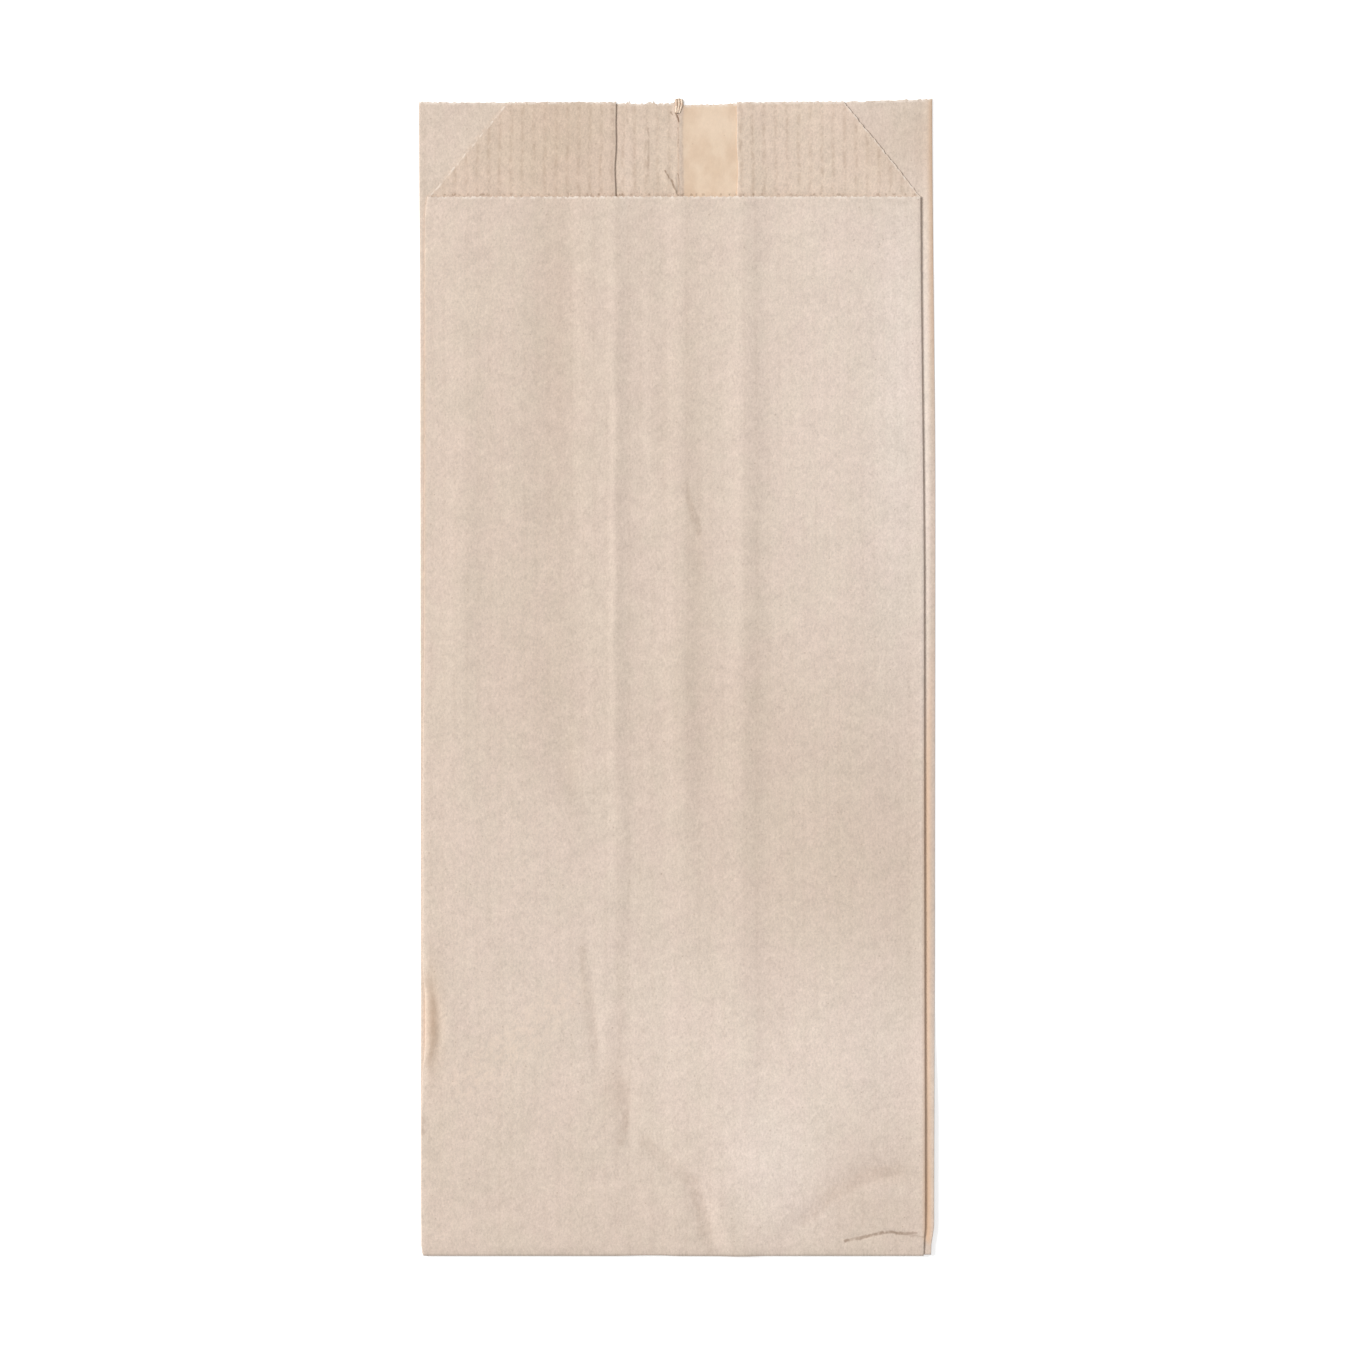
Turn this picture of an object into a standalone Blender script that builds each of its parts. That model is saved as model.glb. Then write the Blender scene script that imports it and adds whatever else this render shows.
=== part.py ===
"""Brown paper lunch bag, lying flat on its back panel.

The bag is one web of kraft paper. It is folded to a tube with a gusset at each side, lapped and pasted
down the back, cut off by a stepped serrated knife, and its lower end is turned up once against the
back and pasted.

Frame: metres, +Z up, +Y towards the mouth, +X to the right seen from the front panel.
The origin is at the middle of the bag, on the surface that it lies on.
"""

import math

import bmesh
import bpy
import numpy as np

# Driving sizes of the folded bag
BAG_WIDTH = 0.120
BAG_LENGTH = 0.270
GUSSET_DEPTH = 0.0455
FRONT_INSET_LEFT = 0.0014
FRONT_INSET_RIGHT = 0.0025

# Mouth: the front panel is cut lower than the back, and each gusset is cut across between the two
LIP = 0.023
OBLIQUE_RUN = 0.018
TOOTH_PITCH = 0.0015
TOOTH_DEPTH = 0.0004

# Long seam of the back panel, whose inner edge runs down the middle of the bag
SEAM_INNER_X = 0.0004
SEAM_OVERLAP = 0.016
SEAM_STEP = 0.004
SEAM_GLUE_WIDTH = 0.0124
SEAM_GLUE_MARGIN = 0.001

# Bottom: the tube's end is turned up against the back, where the longer front panel is pasted down
BOTTOM_TURN = 0.004
BOTTOM_RISE = 0.030
BOTTOM_GLUE_WIDTH = 0.012
BOTTOM_GLUE_MARGIN = 0.003
TURN_RADIUS = 0.00012

# Paper, and the air between its plies where the bag is loose and where it is pressed
PAPER = 0.0001
LOOSE_GAP = 0.00025
PRESSED_GAP = 0.00004
CREASE_DRAPE = 0.006

# Fineness of the mesh
FOLD_STEPS = 4
TURN_STEPS = 6
BODY_ROWS = 4
RISE_ROWS = 6
CUT_BAND = 0.0012

# Colour and finish of the kraft paper
KRAFT_COLOUR = (0.723, 0.586, 0.485, 1.0)
KRAFT_ROUGHNESS = 0.85

# Places across the bag
HALF_WIDTH = BAG_WIDTH / 2
HALF_PAPER = PAPER / 2
CREASE_X = HALF_WIDTH - GUSSET_DEPTH
SEAM_OUTER_X = SEAM_INNER_X + SEAM_OVERLAP
SEAM_LEFT_FOOT_X = SEAM_INNER_X - SEAM_STEP
SEAM_RIGHT_FOOT_X = SEAM_OUTER_X + SEAM_STEP
GLUE_LEFT_X = SEAM_INNER_X + SEAM_GLUE_MARGIN
GLUE_RIGHT_X = GLUE_LEFT_X + SEAM_GLUE_WIDTH
FRONT_LEFT_X = -HALF_WIDTH + FRONT_INSET_LEFT
FRONT_RIGHT_X = HALF_WIDTH - FRONT_INSET_RIGHT
OBLIQUE_LEFT_X = FRONT_LEFT_X + OBLIQUE_RUN
OBLIQUE_RIGHT_X = FRONT_RIGHT_X - OBLIQUE_RUN

# Every ply has a column of points at each of these places that it covers, so stacked plies match
STATIONS = sorted({
    OBLIQUE_LEFT_X, -CREASE_X, CREASE_DRAPE - CREASE_X, SEAM_LEFT_FOOT_X, SEAM_INNER_X, GLUE_LEFT_X,
    CREASE_X - CREASE_DRAPE, GLUE_RIGHT_X, CREASE_X, SEAM_OUTER_X, SEAM_RIGHT_FOOT_X, OBLIQUE_RIGHT_X,
})


def seam_plies(x):
    """Plies of the back panel at x: two over the seam, one beside it, with a slope between."""
    return 1.0 + min(max(min(x - SEAM_LEFT_FOOT_X, SEAM_RIGHT_FOOT_X - x) / SEAM_STEP, 0.0), 1.0)


def gusset_plies(x):
    """Plies of gusset under the front panel at x: two outside the crease, none in the middle."""
    return 2.0 * min(max((abs(x) - CREASE_X + CREASE_DRAPE) / CREASE_DRAPE, 0.0), 1.0)


def level(ply, x):
    """How many plies lie under this one at x."""
    if ply == "back_outer":
        return 0.0
    if ply == "back_inner":
        return seam_plies(x) - 1.0
    if ply.startswith("gusset_back"):
        return seam_plies(x)
    if ply.startswith("gusset_front"):
        return seam_plies(x) + 1.0
    return seam_plies(x) + gusset_plies(x)


def cut_drop(ply, x):
    """How far below the back panel's mouth the knife cuts a ply at x."""
    if ply == "front":
        return LIP
    if ply == "gusset_front_left":
        return LIP * min(max((OBLIQUE_LEFT_X - x) / OBLIQUE_RUN, 0.0), 1.0)
    if ply == "gusset_front_right":
        return LIP * min(max((x - OBLIQUE_RIGHT_X) / OBLIQUE_RUN, 0.0), 1.0)
    return 0.0


# The web across the bag, from the seam's outer edge round to its inner edge.
# Each ply runs from one x to the next, which are free edges at the two ends and folds between.
WEB = [
    ("back_outer", SEAM_OUTER_X, -HALF_WIDTH),
    ("gusset_back_left", -HALF_WIDTH, -CREASE_X),
    ("gusset_front_left", -CREASE_X, FRONT_LEFT_X),
    ("front", FRONT_LEFT_X, FRONT_RIGHT_X),
    ("gusset_front_right", FRONT_RIGHT_X, CREASE_X),
    ("gusset_back_right", CREASE_X, HALF_WIDTH),
    ("back_inner", HALF_WIDTH, SEAM_INNER_X),
]

# The plies lie loosely at the mouth and are pressed together at the bottom
LOOSE_PITCH = PAPER + LOOSE_GAP
PRESSED_PITCH = PAPER + PRESSED_GAP


def section(pitch):
    """Columns of points across the web, as (ply, x, height), with the plies one pitch apart.

    Each ply runs straight through its stations. Each fold is a half turn, half a pitch deep in x,
    from the height of one ply to the height of the next.
    """
    columns = []
    fold_reach = HALF_PAPER + pitch / 2
    fold_clear = HALF_PAPER + LOOSE_PITCH
    for index, (ply, start, end) in enumerate(WEB):
        travel = 1 if end > start else -1
        starts_free = index == 0
        ends_free = index == len(WEB) - 1
        first = start if starts_free else start + travel * fold_reach
        last = end if ends_free else end - travel * fold_reach
        clear_first = start if starts_free else start + travel * fold_clear
        clear_last = end if ends_free else end - travel * fold_clear
        low, high = sorted((clear_first, clear_last))
        between = [x for x in STATIONS if low < x < high][::travel]
        for x in [first] + between + [last]:
            columns.append((ply, x, HALF_PAPER + pitch * level(ply, x)))
        if ends_free:
            break
        next_ply = WEB[index + 1][0]
        low_level, high_level = level(ply, last), level(next_ply, last)
        for step in range(1, FOLD_STEPS):
            angle = math.pi * step / FOLD_STEPS
            turned = (1.0 - math.cos(angle)) / 2
            nearer = ply if turned <= 0.5 else next_ply
            height = HALF_PAPER + pitch * (low_level + (high_level - low_level) * turned)
            columns.append((nearer, last + travel * math.sin(angle) * pitch / 2, height))
    return columns


COLUMNS = section(LOOSE_PITCH)
COLUMN_PLY = [ply for ply, x, height in COLUMNS]
COLUMN_X = np.array([x for ply, x, height in COLUMNS])
COLUMN_HEIGHT = np.array([height for ply, x, height in COLUMNS])
COLUMN_DROP = np.array([cut_drop(ply, x) for ply, x, height in COLUMNS])
WEB_DISTANCE = np.append(0.0, np.cumsum(np.hypot(np.diff(COLUMN_X), np.diff(COLUMN_HEIGHT))))

# Places along the bag
MOUTH_Y = BAG_LENGTH / 2
FLAP_REACH = BOTTOM_TURN + LIP
GLUE_END_REACH = FLAP_REACH - BOTTOM_GLUE_MARGIN
GLUE_START_REACH = GLUE_END_REACH - BOTTOM_GLUE_WIDTH
STACK = PAPER + PRESSED_PITCH * max(level(ply, x) for ply, x, height in COLUMNS)
TURN_HEIGHT = 2 * TURN_RADIUS + STACK
TURN_Y = STACK + TURN_RADIUS - MOUTH_Y
RISE_END_Y = TURN_Y + FLAP_REACH + CUT_BAND
RISE_START_Y = RISE_END_Y + BOTTOM_RISE


def ease(share):
    """Smooth step from 0 to 1."""
    return share * share * (3.0 - 2.0 * share)


def lengthwise_rows():
    """Rows of points from the mouth to the tube's turned end.

    Each row is (name, y of each column, z of the bag's back, direction in which the plies are
    stacked, pitch). The body lies flat, rises on to the turned end, makes a half turn and runs back
    under itself.
    """
    up = (0.0, 1.0)
    down = (0.0, -1.0)
    level_row = np.ones(len(COLUMNS))
    cut_y = MOUTH_Y - COLUMN_DROP
    rows = [
        ("mouth_cut", cut_y, 0.0, up, LOOSE_PITCH),
        ("mouth_band", cut_y - CUT_BAND, 0.0, up, LOOSE_PITCH),
    ]
    for y in np.linspace(MOUTH_Y - LIP - 2 * CUT_BAND, RISE_START_Y, BODY_ROWS):
        rows.append(("body", level_row * y, 0.0, up, LOOSE_PITCH))
    for share in np.linspace(0.0, 1.0, RISE_ROWS + 1)[1:]:
        pitch = LOOSE_PITCH + (PRESSED_PITCH - LOOSE_PITCH) * ease(share)
        y = RISE_START_Y - BOTTOM_RISE * share
        rows.append(("rise", level_row * y, TURN_HEIGHT * ease(share), up, pitch))
    rows.append(("glue_end", level_row * (TURN_Y + GLUE_END_REACH), TURN_HEIGHT, up, PRESSED_PITCH))
    rows.append(("glue_start", level_row * (TURN_Y + GLUE_START_REACH), TURN_HEIGHT, up, PRESSED_PITCH))
    for step in range(TURN_STEPS + 1):
        angle = math.pi * step / TURN_STEPS
        stacked = (-math.sin(angle), math.cos(angle))
        y = TURN_Y + TURN_RADIUS * stacked[0]
        z = TURN_HEIGHT - TURN_RADIUS + TURN_RADIUS * stacked[1]
        rows.append(("turn", level_row * y, z, stacked, PRESSED_PITCH))
    under = TURN_HEIGHT - 2 * TURN_RADIUS
    turned_length = BOTTOM_TURN + COLUMN_DROP
    band_share = (turned_length - CUT_BAND) / (FLAP_REACH - CUT_BAND)
    for name, reach in (("flap_glue_start", GLUE_START_REACH), ("flap_glue_end", GLUE_END_REACH)):
        rows.append((name, TURN_Y + band_share * reach, under, down, PRESSED_PITCH))
    rows.append(("end_band", TURN_Y + turned_length - CUT_BAND, under, down, PRESSED_PITCH))
    rows.append(("end_cut", TURN_Y + turned_length, under, down, PRESSED_PITCH))
    return rows


ROWS = lengthwise_rows()
ROW_NAMES = [row[0] for row in ROWS]


def half_ply_offsets(x, height):
    """Offsets from the web's middle line to its outer face, mitred where the line turns."""
    step_x = np.diff(x)
    step_height = np.diff(height)
    length = np.hypot(step_x, step_height)
    normals = np.stack([-step_height / length, step_x / length])
    before = np.concatenate([normals[:, :1], normals], axis=1)
    after = np.concatenate([normals, normals[:, -1:]], axis=1)
    mean = (before + after) / 2
    return HALF_PAPER * mean / (mean ** 2).sum(axis=0)


def face_points(side):
    """Points of one face of the web, rows by columns: side 1 is the outer face, -1 the inner."""
    grid = np.empty((len(ROWS), len(COLUMNS), 3))
    for index, (name, y, back_z, stacked, pitch) in enumerate(ROWS):
        columns = section(pitch)
        x = np.array([column[1] for column in columns])
        height = np.array([column[2] for column in columns])
        offset_x, offset_height = half_ply_offsets(x, height)
        above_back = height + side * offset_height
        grid[index, :, 0] = x + side * offset_x
        grid[index, :, 1] = y + stacked[0] * above_back
        grid[index, :, 2] = back_z + stacked[1] * above_back
    tooth = TOOTH_DEPTH * tooth_wave(WEB_DISTANCE)
    grid[0, :, 1] -= tooth
    grid[-1, :, 1] += tooth
    return grid


def tooth_wave(distance):
    """Saw-tooth of the knife along the web, from 0 at a point of the paper to 1 in a notch."""
    return np.abs(2.0 * np.mod(distance / TOOTH_PITCH, 1.0) - 1.0)


def tooth_points(points, direction):
    """Extra points along a cut, at each point and notch of the teeth, listed by column interval."""
    extra = []
    half_pitch = TOOTH_PITCH / 2
    clear = half_pitch / 4
    drift = direction * TOOTH_DEPTH
    for column in range(len(COLUMNS) - 1):
        start, end = WEB_DISTANCE[column], WEB_DISTANCE[column + 1]
        count = np.arange(math.ceil((start + clear) / half_pitch), math.floor((end - clear) / half_pitch) + 1)
        share = (count * half_pitch - start) / (end - start)
        smooth_start = points[column] - [0.0, drift * tooth_wave(start), 0.0]
        smooth_end = points[column + 1] - [0.0, drift * tooth_wave(end), 0.0]
        cut = smooth_start + share[:, None] * (smooth_end - smooth_start)
        cut[:, 1] += drift * tooth_wave(count * half_pitch)
        extra.append(cut)
    return extra


def columns_between(ply, low, high):
    """Indices of the columns of a ply from x low to x high, in order of x."""
    slack = PAPER / 100
    found = [
        index for index, (name, x, height) in enumerate(COLUMNS)
        if name == ply and low - slack <= x <= high + slack
    ]
    return sorted(found, key=lambda index: COLUMN_X[index])


def rectangle(rows, columns):
    """Ring of (row, column) round a block of the grid."""
    first = [(rows[0], column) for column in columns]
    last = [(rows[-1], column) for column in columns]
    right = [(row, columns[-1]) for row in rows[1:-1]]
    left = [(row, columns[0]) for row in rows[1:-1]]
    return first + right + last[::-1] + left[::-1]


def glue_joints():
    """Pasted areas, each as two facing blocks of the web: (side, rows, columns) twice."""
    turn_rows = [index for index, name in enumerate(ROW_NAMES) if name == "turn"]
    seam_rows = list(range(ROW_NAMES.index("mouth_band"), ROW_NAMES.index("end_band") + 1))
    seam = (
        (-1, seam_rows, columns_between("back_outer", GLUE_LEFT_X, GLUE_RIGHT_X)),
        (1, seam_rows, columns_between("back_inner", GLUE_LEFT_X, GLUE_RIGHT_X)),
    )
    body_rows = [ROW_NAMES.index("glue_end"), ROW_NAMES.index("glue_start")]
    flap_rows = [ROW_NAMES.index("flap_glue_end"), ROW_NAMES.index("flap_glue_start")]
    joints = [seam]
    for back_ply, low, high in (
        ("back_outer", OBLIQUE_LEFT_X, SEAM_LEFT_FOOT_X),
        ("back_inner", SEAM_RIGHT_FOOT_X, OBLIQUE_RIGHT_X),
    ):
        joints.append((
            (1, body_rows, columns_between(back_ply, low, high)),
            (-1, flap_rows, columns_between("front", low, high)),
        ))
    return joints


def pasted_cells(joints):
    """Cells of the two faces that lie under paste, where the plies are joined and have no face."""
    cells = set()
    for joint in joints:
        for side, rows, columns in joint:
            for row in range(min(rows), max(rows)):
                for column in range(min(columns), max(columns)):
                    cells.add((side, row, column))
    return cells


def build_paper(mesh):
    """Fill a mesh with the web's two faces, its cut edges and the walls of its pasted areas."""
    shape = bmesh.new()
    joints = glue_joints()
    pasted = pasted_cells(joints)
    last_row = len(ROWS) - 1
    faces = {}
    cuts = {}
    for side in (1, -1):
        grid = face_points(side)
        faces[side] = [[shape.verts.new(point) for point in row] for row in grid]
        for row, direction in ((0, -1.0), (last_row, 1.0)):
            extra = tooth_points(grid[row], direction)
            cuts[side, row] = [[shape.verts.new(point) for point in points] for points in extra]
        for row in range(last_row):
            for column in range(len(COLUMNS) - 1):
                if (side, row, column) in pasted:
                    continue
                near = cuts[side, row][column] if row == 0 else []
                far = cuts[side, last_row][column] if row == last_row - 1 else []
                outline = [faces[side][row][column]] + near + [faces[side][row][column + 1]]
                outline += [faces[side][row + 1][column + 1]] + far[::-1] + [faces[side][row + 1][column]]
                shape.faces.new(outline)
    for row in (0, last_row):
        edge = {side: [] for side in (1, -1)}
        for side in (1, -1):
            for column in range(len(COLUMNS) - 1):
                edge[side] += [faces[side][row][column]] + cuts[side, row][column]
            edge[side].append(faces[side][row][-1])
        join_edges(shape, edge[1], edge[-1])
    for column in (0, -1):
        join_edges(shape, [row[column] for row in faces[1]], [row[column] for row in faces[-1]])
    for (side_a, rows_a, columns_a), (side_b, rows_b, columns_b) in joints:
        ring_a = [faces[side_a][row][column] for row, column in rectangle(rows_a, columns_a)]
        ring_b = [faces[side_b][row][column] for row, column in rectangle(rows_b, columns_b)]
        join_edges(shape, ring_a + ring_a[:1], ring_b + ring_b[:1])
    unused = [point for point in shape.verts if not point.link_faces]
    bmesh.ops.delete(shape, geom=unused, context="VERTS")
    bmesh.ops.recalc_face_normals(shape, faces=shape.faces)
    bmesh.ops.triangulate(shape, faces=[face for face in shape.faces if len(face.verts) > 4])
    shape.to_mesh(mesh)
    shape.free()


def join_edges(shape, line_a, line_b):
    """Wall of quads between two matching lines of points."""
    for index in range(len(line_a) - 1):
        shape.faces.new((line_a[index], line_a[index + 1], line_b[index + 1], line_b[index]))


def kraft_paper():
    """Matt brown kraft paper."""
    material = bpy.data.materials.new("kraft_paper")
    material.use_nodes = True
    shader = material.node_tree.nodes["Principled BSDF"]
    shader.inputs["Base Color"].default_value = KRAFT_COLOUR
    shader.inputs["Roughness"].default_value = KRAFT_ROUGHNESS
    shader.inputs["Metallic"].default_value = 0.0
    return material


def clear_scene():
    """Remove what the scene holds before the bag is made."""
    for thing in list(bpy.context.scene.objects):
        bpy.data.objects.remove(thing, do_unlink=True)


def make_bag():
    """The whole bag, as one closed solid of paper."""
    mesh = bpy.data.meshes.new("paper_bag")
    build_paper(mesh)
    mesh.materials.append(kraft_paper())
    bag = bpy.data.objects.new("paper_bag", mesh)
    bpy.context.scene.collection.objects.link(bag)
    return bag


clear_scene()
make_bag()
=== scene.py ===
import math

import bpy
import numpy as np
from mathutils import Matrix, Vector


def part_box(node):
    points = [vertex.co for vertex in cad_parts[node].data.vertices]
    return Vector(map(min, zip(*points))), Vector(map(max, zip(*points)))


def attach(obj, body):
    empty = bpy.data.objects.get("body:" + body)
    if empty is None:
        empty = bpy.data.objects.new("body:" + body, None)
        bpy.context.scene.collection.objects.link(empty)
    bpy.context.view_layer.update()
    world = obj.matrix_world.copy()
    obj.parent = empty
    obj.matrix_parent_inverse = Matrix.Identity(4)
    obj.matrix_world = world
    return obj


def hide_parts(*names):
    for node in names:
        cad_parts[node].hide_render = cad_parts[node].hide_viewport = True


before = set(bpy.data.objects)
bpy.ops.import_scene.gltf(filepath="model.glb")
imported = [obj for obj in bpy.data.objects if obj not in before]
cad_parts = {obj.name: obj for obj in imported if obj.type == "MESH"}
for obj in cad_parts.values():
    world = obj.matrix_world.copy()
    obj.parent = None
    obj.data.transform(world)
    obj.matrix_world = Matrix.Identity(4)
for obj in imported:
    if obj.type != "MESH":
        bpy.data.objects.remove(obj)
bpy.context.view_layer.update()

# The web: one length of brown ribbed kraft paper, about 50 grams a square metre, run off a reel.
# The tube machine folds it round a former into seven plies, from the seam's outer edge round both
# gussets and the front panel to the seam's inner edge. Its outline is the frame's.
low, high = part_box("paper_bag")
half_width = 0.5 * (high.x - low.x)
half_length = 0.5 * (high.y - low.y)
paper = 0.0001
gusset_depth = 0.0455
seam_inner_x = 0.0004
seam_outer_x = 0.0164
seam_slope = 0.004
fold_reach = 0.00016

plies = (
    "back_outer",
    "gusset_back_left",
    "gusset_front_left",
    "front",
    "gusset_front_right",
    "gusset_back_right",
    "back_inner",
)


def ease(value):
    """Smooth step: three times the square less twice the cube of a value held between 0 and 1."""
    value = np.clip(value, 0.0, 1.0)
    return value * value * (3.0 - 2.0 * value)


def eased_path(place, knots, values):
    """A value that eases from each knot to the next along the bag, and stays level past the last."""
    result = np.full(np.shape(place), float(values[0]))
    for start, end, before, after in zip(knots[:-1], knots[1:], values[:-1], values[1:]):
        result = result + (after - before) * ease((place - start) / (end - start))
    return result


def fold_places(v):
    """x of the web's eight ends and folds at each distance v from the mouth.

    The outer folds follow the bag's sides, which waver by half a millimetre. The front panel's folds
    lie inside them.
    """
    back_left = -half_width + eased_path(
        v, (0.0, 0.060, 0.255, 0.268, 0.2702), (-0.0002, 0.0001, 0.0003, 0.0004, 0.0010)
    )
    back_right = half_width - eased_path(
        v, (0.0, 0.095, 0.190, 0.262, 0.268), (0.0007, 0.0, 0.0001, 0.0003, 0.0010)
    )
    pushed = eased_path(
        v,
        (0.020, 0.028, 0.120, 0.165, 0.202, 0.2100, 0.2190, 0.2290, 0.240, 0.267, 0.2702),
        (0.0022, 0.0012, 0.0011, 0.0007, 0.0007, 0.0013, 0.0013, 0.0006, 0.0004, 0.0004, 0.0010),
    )
    front_left = -half_width + pushed
    front_right = half_width - eased_path(
        v, (0.022, 0.120, 0.262, 0.268), (0.0034, 0.0026, 0.0024, 0.0027)
    )
    waver = 0.00012 * np.sin(v * 260.0) + 0.00008 * np.sin(v * 610.0 + 1.0)
    rough = 0.00009 * np.sin(v * 2300.0) + 0.00007 * np.sin(v * 5200.0 + 2.0)
    return (
        seam_outer_x + 0.0 * v,
        back_left,
        -half_width + gusset_depth + 0.0001 + waver,
        front_left,
        front_right,
        half_width - gusset_depth - 0.0006 - waver,
        back_right,
        seam_inner_x + rough,
    )


# The plies lie loosely on one another and are pressed hard together near the bottom fold.
# Where the seam laps, every ply above it rides up one more thickness of paper.
loose_gap = 0.00006
pressed_gap = 0.00004
pressed_from = 0.214
pressed_by = 0.242
crease_x = half_width - gusset_depth


def seam_plies(x):
    """Plies of the back panel: two over the seam, easing to one beside it."""
    nearer = np.minimum(x - seam_inner_x + seam_slope, seam_outer_x + seam_slope - x)
    return 1.0 + ease(nearer / seam_slope)


def gusset_plies(x):
    """Plies of gusset that carry the front panel: two at the sides, easing to 1.2 where it spans the
    gap between the gussets' creases, as it is too stiff to sag right down."""
    drape = 0.007
    return 1.2 + 0.8 * ease((np.abs(x) - crease_x + drape) / drape)


# The gussets' creases are springy and stand up off the back panel, and the seam's inner edge, which
# has no paste under its first millimetre, curls up a little. The front panel bellies over them. At the
# mouth, the knife has pinched the creases flat again.
crease_spring = 0.00019
crease_width = 0.0024
free_edge_lift = 0.00022
free_edge_width = 0.0009
front_belly = 0.00030
front_ease = 0.00006
back_pinch = 0.00006
front_pinch = 0.00019
pinched_down_to = 0.036
pinch_run = 0.012


def stacked_height(ply, x, v):
    """Height of a ply above the bag's back: the plies under it, their gaps and its own lift."""
    press = ease((v - pressed_from) / (pressed_by - pressed_from))
    slack = 1.0 - press
    pitch = paper + loose_gap + (pressed_gap - loose_gap) * press
    base = 0.5 * paper
    if ply == "back_outer":
        return base + 0.0 * x
    if ply == "back_inner":
        near_edge = np.exp(-((x - seam_inner_x) / free_edge_width) ** 2)
        uneven = 0.65 + 0.35 * np.sin(v * 900.0) * np.sin(v * 370.0 + 0.5)
        return base + pitch * (seam_plies(x) - 1.0) + free_edge_lift * near_edge * uneven * slack
    near_crease = np.exp(-((np.abs(x) - crease_x) / crease_width) ** 2)
    pinch = near_crease * ease((pinched_down_to - v) / pinch_run)
    if ply.startswith("gusset_back"):
        crest = 0.00018 * ease((x - half_width + 0.0032) / 0.0018) * ease((half_width - x) / 0.0012)
        lift = 0.35 * crease_spring * near_crease + crest - back_pinch * pinch
        return base + pitch * seam_plies(x) + lift * slack
    spring = ease((np.abs(x) - crease_x - 0.004) / 0.020) * ease((half_width - 0.001 - np.abs(x)) / 0.012)
    side = np.where(x > 0.0, 0.55, 0.45)
    if ply.startswith("gusset_front"):
        lift = crease_spring * near_crease + 0.5 * front_belly * side * spring - front_pinch * pinch
        return base + pitch * (seam_plies(x) + 1.0) + lift * slack
    lift = front_ease + front_belly * side * spring
    return base + pitch * (seam_plies(x) + gusset_plies(x)) + lift * slack


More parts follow.
